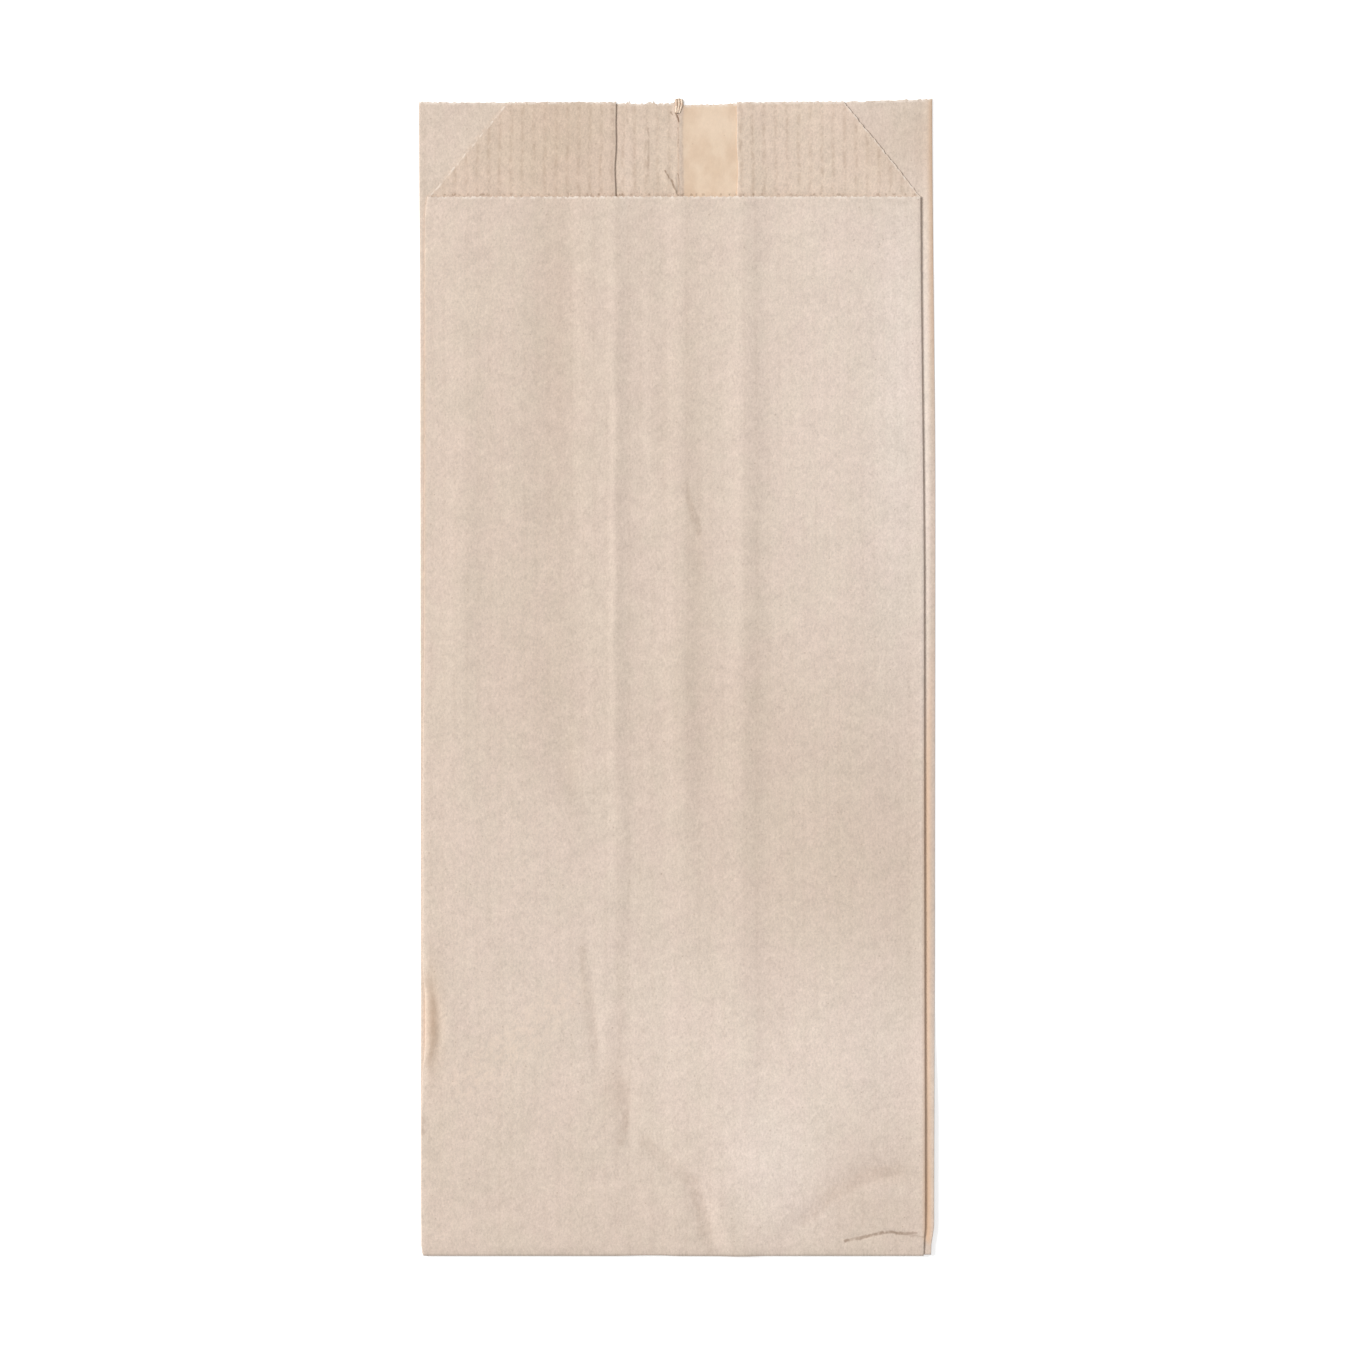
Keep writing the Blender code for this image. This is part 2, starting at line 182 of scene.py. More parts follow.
# The front panel keeps the mark of everything under it: the gussets' creases, the seam's edge, and the
# wrinkles of being handled. Each wrinkle follows a path of points in millimetres, given as distance
# from the mouth, x and height, with a width on its left and right and a sharpness (2 rounded, 1 sharp).
long_wrinkles = (
    # left gusset's crease, then the fold that it turns into lower down
    (((16, -14.5, 0.13), (60, -14.5, 0.22), (110, -14.6, 0.25), (150, -14.4, 0.22),
      (178, -13.6, 0.12), (212, -13.4, 0.0)), 2.0, 2.0, 2.0),
    (((52, -15.4, 0.0), (70, -15.6, -0.07), (120, -15.9, -0.07), (168, -15.6, 0.0)), 0.8, 0.6, 1.6),
    (((168, -11.0, 0.0), (184, -11.0, -0.08), (205, -12.0, -0.10), (224, -12.4, -0.18),
      (232, -12.0, -0.26), (243, -12.0, -0.24), (254, -12.6, 0.0)), 2.6, 2.3, 1.9),
    # slack paper beside the seam, and the seam's inner edge
    (((34, -6.2, 0.0), (48, -6.0, 0.09), (75, -5.6, 0.12), (98, -5.2, 0.10),
      (112, -5.0, 0.0)), 1.5, 1.2, 2.0),
    (((118, -7.4, 0.0), (136, -6.8, 0.07), (158, -6.0, 0.08), (182, -5.6, 0.0)), 2.2, 1.4, 2.0),
    (((16, 1.2, 0.11), (44, 1.1, 0.10), (64, 1.0, 0.08), (84, 1.2, 0.0)), 1.5, 1.6, 2.0),
    (((56, 1.2, 0.0), (74, 1.3, 0.15), (100, 1.3, 0.25), (140, 1.6, 0.30), (168, 2.0, 0.26),
      (192, 3.0, 0.0)), 6.5, 2.2, 2.0),
    # right gusset's crease
    (((16, 14.8, 0.10), (45, 14.9, 0.18), (95, 15.1, 0.23), (150, 14.8, 0.20), (180, 14.5, 0.10),
      (214, 14.3, 0.0)), 1.7, 3.6, 2.0),
    # where the front panel drops on the left, and the soft ridge along its side
    (((10, -25.6, -0.34), (60, -25.4, -0.34), (95, -24.8, -0.28), (128, -23.6, -0.18),
      (165, -22.0, 0.0)), 8.0, 3.2, 2.0),
    (((26, -36.0, 0.0), (50, -36.4, 0.08), (96, -37.2, 0.09), (134, -38.4, 0.0)), 3.4, 3.0, 2.0),
    (((44, -49.2, 0.0), (64, -49.0, 0.14), (110, -49.6, 0.17), (140, -50.6, 0.15),
      (158, -51.5, 0.0)), 3.0, 3.0, 2.0),
    # pinch on the left, and the short folds below it
    (((142, -26.2, 0.0), (152, -25.8, -0.16), (159, -24.8, -0.18), (167, -20.6, -0.10),
      (176, -19.0, 0.0)), 2.6, 1.9, 1.9),
    (((180, -21.6, 0.0), (192, -21.2, -0.08), (206, -20.2, -0.15), (220, -18.9, -0.20),
      (232, -18.2, 0.0)), 2.4, 1.8, 1.8),
    # folds that cross above the bottom, and the swelling between them
    (((238, -9.4, 0.0), (243.2, -6.7, -0.16), (247.5, -1.9, -0.23), (252.8, 4.0, -0.28),
      (261.2, 6.2, -0.30), (269, 8.2, -0.22)), 2.3, 1.6, 1.8),
    (((247, 6.6, 0.0), (256, 8.8, 0.20), (268, 12.6, 0.30), (269.5, 13.0, 0.2)), 1.2, 3.4, 1.8),
    (((236, 21.0, 0.0), (248, 20.6, 0.20), (262, 20.4, 0.26), (269, 18.6, 0.16)), 3.6, 6.5, 2.0),
    (((214, 5.0, 0.0), (222, 5.2, -0.08), (236, 6.0, -0.08), (244, 6.4, 0.0)), 0.8, 0.8, 1.6),
    (((250, -8.6, 0.0), (255, -7.9, 0.12), (264, -6.7, 0.12), (268, -6.3, 0.0)), 1.4, 0.9, 1.8),
    (((252, -16.6, 0.0), (259, -16.2, 0.08), (265, -15.8, 0.0)), 1.8, 1.8, 2.0),
    (((254, -5.6, 0.0), (261, -5.3, 0.08), (267, -5.0, 0.0)), 1.8, 2.0, 2.0),
    # the left side, pressed in by a thumb: its fold stands up and the panel dips beside it
    (((196, -58.9, 0.0), (203, -58.6, 0.26), (212, -58.3, 0.44), (221, -58.3, 0.42),
      (227, -58.6, 0.20), (232, -58.9, 0.0)), 1.0, 2.3, 2.4),
    (((200, -57.2, 0.0), (205, -56.0, 0.14), (212, -54.5, 0.25), (219, -54.1, 0.26),
      (224, -55.4, 0.14), (229, -56.8, 0.0)), 0.55, 3.4, 1.9),
    (((233, -59.0, 0.0), (236, -58.4, -0.12), (241, -57.2, -0.14), (247, -54.6, 0.0)), 1.3, 1.2, 1.7),
    # the right side turns up a little along its fold
    (((60, 57.6, 0.0), (110, 57.8, 0.08), (160, 57.8, 0.14), (258, 57.8, 0.16),
      (267, 57.6, 0.0)), 2.4, 0.6, 2.0),
)
cross_wrinkles = (
    # kink from the short fold across to the long one
    (((-20.4, 223.8, 0.0), (-18.0, 224.6, -0.10), (-14.6, 226.0, -0.12),
      (-11.4, 227.6, 0.0)), 1.0, 2.2, 1.8),
    # slope on the right above the bottom
    (((22.0, 267.0, 0.0), (29.5, 261.0, -0.22), (36.7, 254.4, -0.26), (43.9, 251.0, -0.22),
      (50.0, 249.6, -0.18), (56.0, 248.6, 0.0)), 2.4, 2.1, 1.9),
    (((42.0, 253.8, 0.0), (47.0, 252.9, 0.12), (53.0, 252.6, 0.12), (56.5, 253.0, 0.0)), 1.0, 1.6, 2.0),
    # sharp crease where the turned end's corner shows through
    (((37.4, 266.9, 0.0), (39.4, 265.9, -0.10), (42.0, 265.0, -0.15), (45.4, 264.5, -0.19),
      (48.6, 263.9, -0.22), (51.6, 264.3, -0.18), (55.0, 264.7, -0.19), (57.2, 265.2, -0.12),
      (59.5, 265.4, 0.0)), 0.42, 0.5, 1.1),
)


def wrinkle_height(place, across, wrinkle):
    """One wrinkle: the height along its path, times the exponential of minus the distance from the
    wavering path over the width on that side, to the power of the sharpness."""
    path, before, after, power = wrinkle
    stations, line, height = np.array(path, dtype=float).T
    waver = 0.26 * np.sin(0.21 * place + line[0]) + 0.13 * np.sin(0.57 * place + 2.0 * line[0])
    aside = across - np.interp(place, stations, line) - waver * min(before, 1.0)
    width = np.where(aside < 0.0, before, after)
    ends = (place >= stations[0]) & (place <= stations[-1])
    return np.interp(place, stations, height) * ends * np.exp(-(np.abs(aside) / width) ** power)


def front_relief(x, v):
    """The wrinkles, and the broad swells of air left in the bag, in metres.

    The swell rises from the left side to the middle and ends on a slant; the hill is the air that has
    gathered low on the right. The sum stays above the plies underneath: half of the height over the
    deepest that it can go, added to half of the root of that height squared and a softness squared.
    It calms down to nothing at the outer folds and at the bottom.
    """
    x_mm, v_mm = 1000.0 * x, 1000.0 * v
    slant = (v_mm - 148.0) * 0.90 - x_mm * 0.44
    swell = 0.14 + 0.44 * ease((x_mm + 52.0) / 44.0) * (1.0 - ease((slant + 26.0) / 60.0))
    hill = 0.34 * ease((v_mm - 196.0) / 40.0) * ease((x_mm + 30.0) / 50.0) * ease((272.0 - v_mm) / 20.0)
    relief = 0.08 + (swell + hill) * ease((58.5 - x_mm) / 22.0) * ease((58.5 + x_mm) / 9.0)
    for wrinkle in long_wrinkles:
        relief = relief + wrinkle_height(v_mm, x_mm, wrinkle)
    for wrinkle in cross_wrinkles:
        relief = relief + wrinkle_height(x_mm, v_mm, wrinkle)
    deepest = -0.20 * ease((13.8 - np.abs(x_mm)) / 2.4)
    soft = 0.03
    relief = deepest + 0.5 * (relief - deepest + np.sqrt((relief - deepest) ** 2 + soft * soft))
    calm = ease((269.5 - v_mm) / 2.0) * ease((59.6 - np.abs(x_mm)) / 1.6)
    return 0.001 * relief * calm


# In the mouth the back panel shows between the gussets. Its slack half is creased beside the seam,
# in a V whose point is at the front panel's cut.
lip_creases = (
    (((13, -3.6, 0.0), (16, -3.1, 0.10), (18.4, -2.2, 0.24), (22.6, -0.1, 0.26),
      (26, 1.6, 0.0)), 0.9, 0.22, 1.4),
    (((15.5, -0.3, 0.0), (17.6, -0.25, 0.16), (21.8, -0.1, 0.16), (23.4, 0.0, 0.0)), 0.5, 0.2, 1.4),
    (((1.6, -0.8, 0.0), (2.4, -0.6, 0.16), (4.6, -0.1, 0.16), (5.6, 0.0, 0.0)), 0.4, 0.2, 1.4),
    (((7.0, -0.2, 0.0), (8.2, -0.1, 0.12), (9.4, 0.0, 0.0)), 0.4, 0.2, 1.4),
    (((1, -12.2, 0.05), (8, -12.0, 0.09), (16, -11.8, 0.06), (23, -11.4, 0.12),
      (30, -11.0, 0.0)), 1.0, 1.0, 2.0),
    (((1, -7.6, 0.06), (9, -7.4, 0.12), (17, -7.0, 0.06), (24, -6.6, 0.0)), 1.0, 0.5, 2.0),
)


def back_relief(x, v):
    """Creases of the back panel's slack half, which only lift it, as it lies on the table."""
    relief = sum(wrinkle_height(1000.0 * v, 1000.0 * x, wrinkle) for wrinkle in lip_creases)
    return 0.001 * relief * ease((seam_inner_x + 0.0012 - x) / 0.0012)


# The tube is cut through by a stepped serrated knife: the back panel stands above the front panel, and
# each gusset is cut across between the two. The next bag's bottom is the other side of the same cut.
lip = 0.0230
oblique_run = 0.0182
tooth_pitch = 0.0015
tooth_depth = 0.00040
side_cut = (
    (-0.060, -0.046, -0.030, -0.0145, 0.0140, 0.030, 0.043, 0.047, 0.060),
    (0.00090, 0.00105, 0.00095, 0.00095, 0.00100, 0.00085, 0.00085, 0.00055, 0.00020),
)
middle_cut = (
    (-0.0150, -0.0138, -0.0120, -0.0112, -0.0104, -0.0072, -0.0063,
     -0.0054, -0.0006, 0.0012, 0.0100, 0.0126, 0.0145),
    (0.00105, 0.00130, 0.00130, 0.00070, 0.00130, 0.00130, 0.00080,
     0.00130, 0.00110, 0.00160, 0.00150, 0.00135, 0.00110),
)


def cut_drop(ply, share, x):
    """How far the knife cuts a ply below the bag's highest point, before its teeth."""
    waver = np.interp(x, *side_cut)
    if ply == "front":
        return lip + 0.0 * x
    if ply.startswith("gusset_front"):
        outward = share if ply.endswith("left") else 1.0 - share
        gusset_share = oblique_run / (gusset_depth - 0.002)
        return waver + (lip - waver) * np.clip((outward - 1.0 + gusset_share) / gusset_share, 0.0, 1.0)
    if ply.startswith("back"):
        return np.where(np.abs(x) < 0.0145, np.interp(x, *middle_cut), waver + 0.00010)
    return waver


def tooth_notch(distance):
    """Notches of the knife's teeth along the web: a saw-tooth of even pitch and uneven depth."""
    count = np.floor(distance / tooth_pitch)
    saw = np.abs(2.0 * (distance / tooth_pitch - count) - 1.0)
    uneven = 0.66 + 0.34 * np.sin(count * 2.4) * np.sin(count * 0.83 + 1.0)
    tear = 0.00007 * np.sin(distance * 9100.0) + 0.00005 * np.sin(distance * 16700.0 + 1.0)
    return tooth_depth * saw ** 0.8 * uneven + tear


# Columns of points across the web. They stand close together where the front panel is wrinkled and
# where the back panel shows in the mouth.
fold_steps = 6


def spread(start, end, spacing, close=()):
    """Shares from 0 to 1 of a run, set so that the spacing shrinks inside each close place.

    The density of points is summed along the run, and the points stand where the sum is whole.
    """
    fine_run = np.linspace(start, end, 2001)
    density = np.full(fine_run.shape, 1.0 / spacing)
    for middle, half, times in close:
        density = density * (1.0 + (times - 1.0) * np.exp(-((fine_run - middle) / half) ** 4))
    running = np.append(0.0, np.cumsum(0.5 * (density[1:] + density[:-1]) * np.abs(np.diff(fine_run))))
    count = max(int(round(running[-1])), 3)
    return np.interp(np.linspace(0.0, running[-1], count + 1), running, np.linspace(0.0, 1.0, fine_run.size))


flat_shares = {
    "back_outer": spread(
        seam_outer_x, -half_width, 0.0060,
        close=((-0.0060, 0.0085, 6.0), (-0.0014, 0.0026, 4.0)),
    ),
    "gusset_back_left": spread(
        -half_width, -crease_x, 0.0050,
        close=((-crease_x, 0.003, 2.5), (-0.0588, 0.0022, 12.0)),
    ),
    "gusset_front_left": spread(
        -crease_x, -half_width, 0.0026,
        close=((-crease_x, 0.004, 3.0), (-0.0410, 0.002, 3.0)),
    ),
    "front": spread(
        -half_width, half_width, 0.0018,
        close=((-0.0165, 0.0075, 2.9), (0.0, 0.050, 1.30), (0.059, 0.003, 2.6), (-0.059, 0.004, 3.0)),
    ),
    "gusset_front_right": spread(
        half_width, crease_x, 0.0026,
        close=((crease_x, 0.004, 3.0), (0.0400, 0.002, 3.0)),
    ),
    "gusset_back_right": spread(
        crease_x, half_width, 0.0050,
        close=((crease_x, 0.003, 2.5), (0.0588, 0.0022, 14.0)),
    ),
    "back_inner": spread(half_width, seam_inner_x, 0.0060, close=((0.004, 0.0060, 8.0),)),
}
column_ply = []
column_share = []
for index, ply in enumerate(plies):
    shares = flat_shares[ply]
    column_ply += [index] * shares.size
    column_share += list(shares)
    if index < len(plies) - 1:
        column_ply += [index + 0.5] * (fold_steps - 1)
        column_share += list(np.arange(1, fold_steps) / fold_steps)
column_ply = np.array(column_ply)
column_share = np.array(column_share)
column_count = column_ply.size


def web_section(v):
    """x and height of every column, at its own distance v from the mouth (rows by columns).

    A ply runs straight between its folds. A fold is half a turn, drawn out to the height between the
    two plies that it joins.
    """
    x = np.zeros(v.shape)
    height = np.zeros(v.shape)
    ends = fold_places(v)
    for index, ply in enumerate(plies):
        here = column_ply == index
        share = column_share[here]
        travel = 1.0 if index in (1, 3, 5) else -1.0
        start = ends[index][:, here] + (travel * fold_reach if index > 0 else 0.0)
        end = ends[index + 1][:, here] - (travel * fold_reach if index < len(plies) - 1 else 0.0)
        x[:, here] = start + (end - start) * share
        height[:, here] = stacked_height(ply, x[:, here], v[:, here])
        if ply == "front":
            height[:, here] += front_relief(x[:, here], v[:, here])
        if ply == "back_outer":
            height[:, here] += back_relief(x[:, here], v[:, here])
    for index in range(len(plies) - 1):
        here = np.flatnonzero(column_ply == index + 0.5)
        before, after = here[0] - 1, here[-1] + 1
        travel = 1.0 if index in (1, 3, 5) else -1.0
        turn = math.pi * column_share[here]
        x[:, here] = x[:, [before]] + travel * (fold_reach - 0.5 * paper) * np.sin(turn)
        turned = 0.5 * (1.0 - np.cos(turn))
        height[:, here] = height[:, [before]] + (height[:, [after]] - height[:, [before]]) * turned
    return x, height


# Rows of points along the web, from the knife cut at the mouth to the cut at the tube's other end.
# The last 27 mm are turned up once against the back and pasted there, so the bag rises on to them.
turn_radius = 0.00012
bottom_turn = 0.004
rise_length = 0.030
rise_lead = 0.002
outline_margin = 0.0003
stack = paper + 4.0 * (paper + pressed_gap)
turn_rise = 2.0 * turn_radius + stack
turn_y = -half_length + turn_radius + stack + outline_margin
rise_end_y = turn_y + bottom_turn + lip + rise_lead

nominal_x = web_section(np.full((1, column_count), 0.5 * lip))[0][0]
nearest_ply = np.where(column_ply % 1.0 == 0.0, column_ply, np.floor(column_ply + column_share))
outward_share = np.where(column_ply % 1.0 == 0.0, column_share, np.where(column_share < 0.5, 1.0, 0.0))
drop = np.zeros(column_count)
for index, ply in enumerate(plies):
    here = nearest_ply == index
    drop[here] = cut_drop(ply, outward_share[here], nominal_x[here])

mouth_rows = 26
flap_rows = 10
turn_rows = 6
cut_band = 0.0008
common_y = half_length - lip - 0.008
mouth_share = np.linspace(1.0, 0.0, mouth_rows)[:, None]
mouth_cut_y = half_length - drop
mouth_y = np.concatenate([mouth_cut_y[None], common_y + (mouth_cut_y - cut_band - common_y) * mouth_share])
body_shares = spread(
    common_y, turn_y, 0.0026,
    close=((-0.104, 0.030, 1.75), (-0.1295, 0.0026, 4.5), (-0.090, 0.004, 1.4)),
)
body_y = (common_y + (turn_y - common_y) * body_shares[1:])[:, None] * np.ones(column_count)
turn_angle = np.pi * np.arange(1, turn_rows + 1) / turn_rows
turn_ring_y = (turn_y - turn_radius * np.sin(turn_angle))[:, None] * np.ones(column_count)
flap_share = np.linspace(0.0, 1.0, flap_rows)[1:, None]
end_cut_y = turn_y + bottom_turn + drop
flap_y = np.concatenate([turn_y + (end_cut_y - cut_band - turn_y) * flap_share, end_cut_y[None]])
row_y = np.concatenate([mouth_y, body_y, turn_ring_y, flap_y])
row_turn = np.concatenate([
    np.zeros(len(mouth_y) + len(body_y)), turn_angle, np.full(len(flap_y), np.pi),
])[:, None]
row_count = len(row_y)

body_length = half_length - turn_y
turned_v = body_length + row_turn * turn_radius + np.maximum(row_y - turn_y, 0.0)
distance = np.where(row_turn > 0.0, turned_v, half_length - row_y)
section_x, section_height = web_section(distance)
back_z = turn_rise * ease((rise_end_y + rise_length - row_y) / rise_length)
under_turn = turn_rise - turn_radius * (1.0 - np.cos(row_turn))
path_z = np.where(row_turn > 0.0, under_turn, back_z)
points = np.stack([
    section_x,
    row_y - np.sin(row_turn) * section_height,
    path_z + np.cos(row_turn) * section_height,
], axis=-1)

# Measured along the folded paper, for the teeth and for everything that follows the paper's grain
web_step = np.hypot(np.diff(section_x[mouth_rows]), np.diff(section_height[mouth_rows]))
web_distance = np.append(0.0, np.cumsum(web_step))

# Both cuts get a finer row of points that follows the teeth.
fine = 6
column_index = np.arange(column_count)
fine_index = np.arange(fine * (column_count - 1) + 1) / fine
fine_distance = np.interp(fine_index, column_index, web_distance)


def toothed_cut(row, direction):
    """A cut edge: its coarse row drawn out between the columns, then notched along y."""
    edge = np.stack([np.interp(fine_index, column_index, row[:, axis]) for axis in range(3)], axis=-1)
    edge[:, 1] += direction * tooth_notch(fine_distance)
    return edge


mouth_edge = toothed_cut(points[0], -1.0)
end_edge = toothed_cut(points[-1], 1.0)
inner_points = points[1:-1].reshape(-1, 3)
vertices = np.concatenate([mouth_edge, inner_points, end_edge])

inner_rows = row_count - 2
inner_index = mouth_edge.shape[0] + np.arange(inner_rows * column_count).reshape(inner_rows, column_count)
quads = np.stack([
    inner_index[:-1, :-1], inner_index[1:, :-1], inner_index[1:, 1:], inner_index[:-1, 1:],
], axis=-1).reshape(-1, 4)
start = np.arange(column_count - 1)[:, None] * fine
mouth_fan = np.concatenate([
    start + np.arange(fine, -1, -1), inner_index[0, :-1, None], inner_index[0, 1:, None],
], axis=1)
end_start = mouth_edge.shape[0] + inner_points.shape[0]
end_fan = np.concatenate([
    end_start + start + np.arange(fine + 1), inner_index[-1, 1:, None], inner_index[-1, :-1, None],
], axis=1)
faces = quads.tolist() + mouth_fan.tolist() + end_fan.tolist()

sheet_mesh = bpy.data.meshes.new("paper_bag_sheet")
sheet_mesh.from_pydata(vertices.tolist(), [], faces)

# Each point keeps its place on the flat web, in metres, so that ribs, paste and fibres follow the paper
web_u = np.concatenate([
    fine_distance, np.broadcast_to(web_distance, (inner_rows, column_count)).ravel(), fine_distance,
])
mouth_v = np.interp(fine_index, column_index, distance[0]) + tooth_notch(fine_distance)
end_v = np.interp(fine_index, column_index, distance[-1]) + tooth_notch(fine_distance)
web_v = np.concatenate([mouth_v, distance[1:-1].ravel(), end_v])
layer = sheet_mesh.uv_layers.new(name="web")
corner = np.zeros(len(sheet_mesh.loops), dtype=np.int32)
sheet_mesh.loops.foreach_get("vertex_index", corner)
layer.data.foreach_set("uv", np.stack([web_u[corner], web_v[corner]], axis=-1).ravel().astype(np.float32))


# Broad painted light and shade: patches a little darker or lighter, painted where the paper's swells
# catch or lose the lamp's light. Each patch is the x and distance from the mouth of its middle, its
# reach across and along the bag, and its change in percent of lightness.
painted_light_patches = (
    (-0.0283, 0.052, 0.0046, 0.044, -3.5),
    (-0.0310, 0.140, 0.0090, 0.020, -2.5),
    (-0.0030, 0.078, 0.0022, 0.020, -2.5),
    (0.0028, 0.062, 0.0022, 0.030, -2.5),
    (0.0040, 0.115, 0.0042, 0.036, -3.0),
    (0.0180, 0.115, 0.0035, 0.045, -2.5),
    (0.0045, 0.105, 0.0016, 0.010, -3.0),
    (0.0365, 0.2548, 0.0070, 0.0030, -4.0),
    (0.0470, 0.2505, 0.0070, 0.0022, -5.0),
    (0.0500, 0.2545, 0.0060, 0.0016, 4.0),
    (-0.0550, 0.190, 0.0040, 0.060, -1.5),
    (0.050, 0.060, 0.034, 0.085, 10.0),
    (0.0520, 0.070, 0.0065, 0.062, 10.0),
    (0.0580, 0.085, 0.0007, 0.040, 6.0),
    (0.0592, 0.170, 0.0010, 0.060, 8.0),
    (0.0520, 0.010, 0.010, 0.012, -14.0),
    (0.0480, 0.222, 0.018, 0.024, 7.0),
    (0.0200, 0.243, 0.012, 0.016, 6.0),
    (-0.0145, 0.2315, 0.0040, 0.0075, -6.0),
    (-0.0245, 0.1565, 0.0022, 0.0085, -3.5),
    (-0.0132, 0.210, 0.0016, 0.014, -3.0),
    (0.0580, 0.012, 0.0024, 0.018, -8.0),
    (0.0591, 0.028, 0.0006, 0.030, -13.0),
    (0.0569, 0.165, 0.0006, 0.085, 7.0),
    (-0.0080, 0.011, 0.0070, 0.011, 2.5),
    (-0.0122, 0.018, 0.0014, 0.007, 7.0),
    (-0.0588, 0.080, 0.0003, 0.060, -12.0),
    (-0.027, 0.060, 0.009, 0.070, -2.0),
    (-0.042, 0.105, 0.018, 0.060, -2.5),
    (0.040, 0.176, 0.034, 0.024, -6.0),
    (0.020, 0.145, 0.032, 0.018, -4.0),
    (-0.030, 0.176, 0.034, 0.020, 2.5),
    (-0.015, 0.205, 0.045, 0.020, 3.5),
    (0.015, 0.228, 0.042, 0.022, 6.0),
    (0.024, 0.254, 0.013, 0.016, 10.0),
    (0.045, 0.256, 0.012, 0.010, -2.0),
    (-0.0564, 0.2160, 0.0018, 0.0095, -12.0),
    (-0.028, 0.006, 0.014, 0.013, -4.0),
    (0.030, 0.006, 0.016, 0.013, 1.0),
)


def painted_light_tone(x, v):
    """Sum of soft patches: each one's tone times the exponential of minus the squared distance."""
    tone = np.zeros(np.shape(x))
    for middle_x, middle_v, reach_x, reach_v, change in painted_light_patches:
        tone = tone + change * np.exp(-((x - middle_x) / reach_x) ** 2 - ((v - middle_v) / reach_v) ** 2)
    return tone


def keep(name, grid):
    """Store one value for each point of the web, drawn out between the columns at both cuts."""
    mouth_values = np.interp(fine_index, column_index, grid[0])
    end_values = np.interp(fine_index, column_index, grid[-1])
    attribute = sheet_mesh.attributes.new(name, "FLOAT", "POINT")
    values = np.concatenate([mouth_values, grid[1:-1].ravel(), end_values])
    attribute.data.foreach_set("value", values.astype(np.float32))


keep("from_cut", np.minimum(distance - distance[0], distance[-1] - distance))
# Broad painted light and shade, stored on the points.
keep("painted_light", painted_light_tone(section_x, distance))

# The right-hand fold is turned reddish near the mouth, again lower down and at the bottom's corner:
# rubbing, with painted shade where the fold rolls away from the lamp. The pocket that is pressed into
# the left side gets the same colour as painted shade.
above_bottom = ease((0.2680 - distance) / 0.0025)
near_mouth = ease((0.090 - distance) / 0.05)
low_down = ease((distance - 0.115) / 0.05) * above_bottom
corner = ease((distance - 0.243) / 0.012) * ease((0.2665 - distance) / 0.002)
wear_and_shade = 0.20 * above_bottom + 0.60 * near_mouth + 0.72 * low_down + 0.30 * corner
rubbed_and_shaded = wear_and_shade * np.exp(-((section_x - half_width + 0.0006 + 0.0012 * low_down) / 0.0009) ** 2)
pocket_shade = np.exp(-((section_x + 0.0574) / 0.0017) ** 2 - ((distance - 0.2140) / 0.0105) ** 2)
keep("rubbed_and_shaded", rubbed_and_shaded + 0.40 * pocket_shade)

sheet = bpy.data.objects.new("paper_bag_sheet", sheet_mesh)
bpy.context.scene.collection.objects.link(sheet)
thicken = sheet.modifiers.new("paper", "SOLIDIFY")
thicken.thickness = paper
thicken.offset = 0.0
thicken.use_even_offset = True
thicken.material_offset = 1
thicken.material_offset_rim = 2


# Kraft paper: unbleached pulp, smooth on its glazed outer face and ribbed on its inner face.
# Long and short fibres show as fine lighter and darker flecks, with a few dark specks of bark.
outer_kraft = (0.731, 0.601, 0.503, 1.0)
inner_kraft = (0.719, 0.573, 0.461, 1.0)
cut_kraft = (0.840, 0.720, 0.620, 1.0)
greener_pulp = (0.993, 1.004, 0.994, 1.0)
pinker_pulp = (1.008, 0.996, 1.003, 1.0)
bark_brown = (0.20, 0.115, 0.06, 1.0)
small_bark_brown = (0.26, 0.15, 0.08, 1.0)
# Painted light turns the colour a little bluer, and painted shade a little warmer.
painted_light_tint_per_percent = (0.0082, 0.0105, 0.0135)


def new_material(name):
    """An empty node material with its Principled shader."""
    material = bpy.data.materials.new(name)
    material.use_nodes = True
    nodes = material.node_tree.nodes
    return material, nodes, material.node_tree.links, nodes["Principled BSDF"]


def math_node(nodes, links, operation, first, second):
    """One Math node on two values or sockets."""
    node = nodes.new("ShaderNodeMath")
    node.operation = operation
    for slot, value in enumerate((first, second)):
        if isinstance(value, (int, float)):
            node.inputs[slot].default_value = value
        else:
            links.new(value, node.inputs[slot])
    return node.outputs[0]


def product(nodes, links, first, second):
    """Two values multiplied."""
    return math_node(nodes, links, "MULTIPLY", first, second)


def total(nodes, links, first, second):
    """Two values added."""
    return math_node(nodes, links, "ADD", first, second)


def mapped(nodes, links, value, low_in, high_in, low_out, high_out, curve="SMOOTHSTEP"):
    """A value carried smoothly from one range to another."""
    node = nodes.new("ShaderNodeMapRange")
    node.interpolation_type = curve
    links.new(value, node.inputs["Value"])
    node.inputs["From Min"].default_value = low_in
    node.inputs["From Max"].default_value = high_in
    node.inputs["To Min"].default_value = low_out
    node.inputs["To Max"].default_value = high_out
    return node.outputs["Result"]


def noise(nodes, links, place, scale, stretch=(1.0, 1.0, 1.0), turn=0.0, detail=3.0, rough=0.55):
    """Noise on the web's own coordinates, stretched and turned to lie along the fibres."""
    mapping = nodes.new("ShaderNodeMapping")
    mapping.inputs["Scale"].default_value = stretch
    mapping.inputs["Rotation"].default_value = (0.0, 0.0, turn)
    links.new(place, mapping.inputs["Vector"])
    texture = nodes.new("ShaderNodeTexNoise")
    texture.inputs["Scale"].default_value = scale
    texture.inputs["Detail"].default_value = detail
    texture.inputs["Roughness"].default_value = rough
    links.new(mapping.outputs["Vector"], texture.inputs["Vector"])
    return texture.outputs["Fac"]


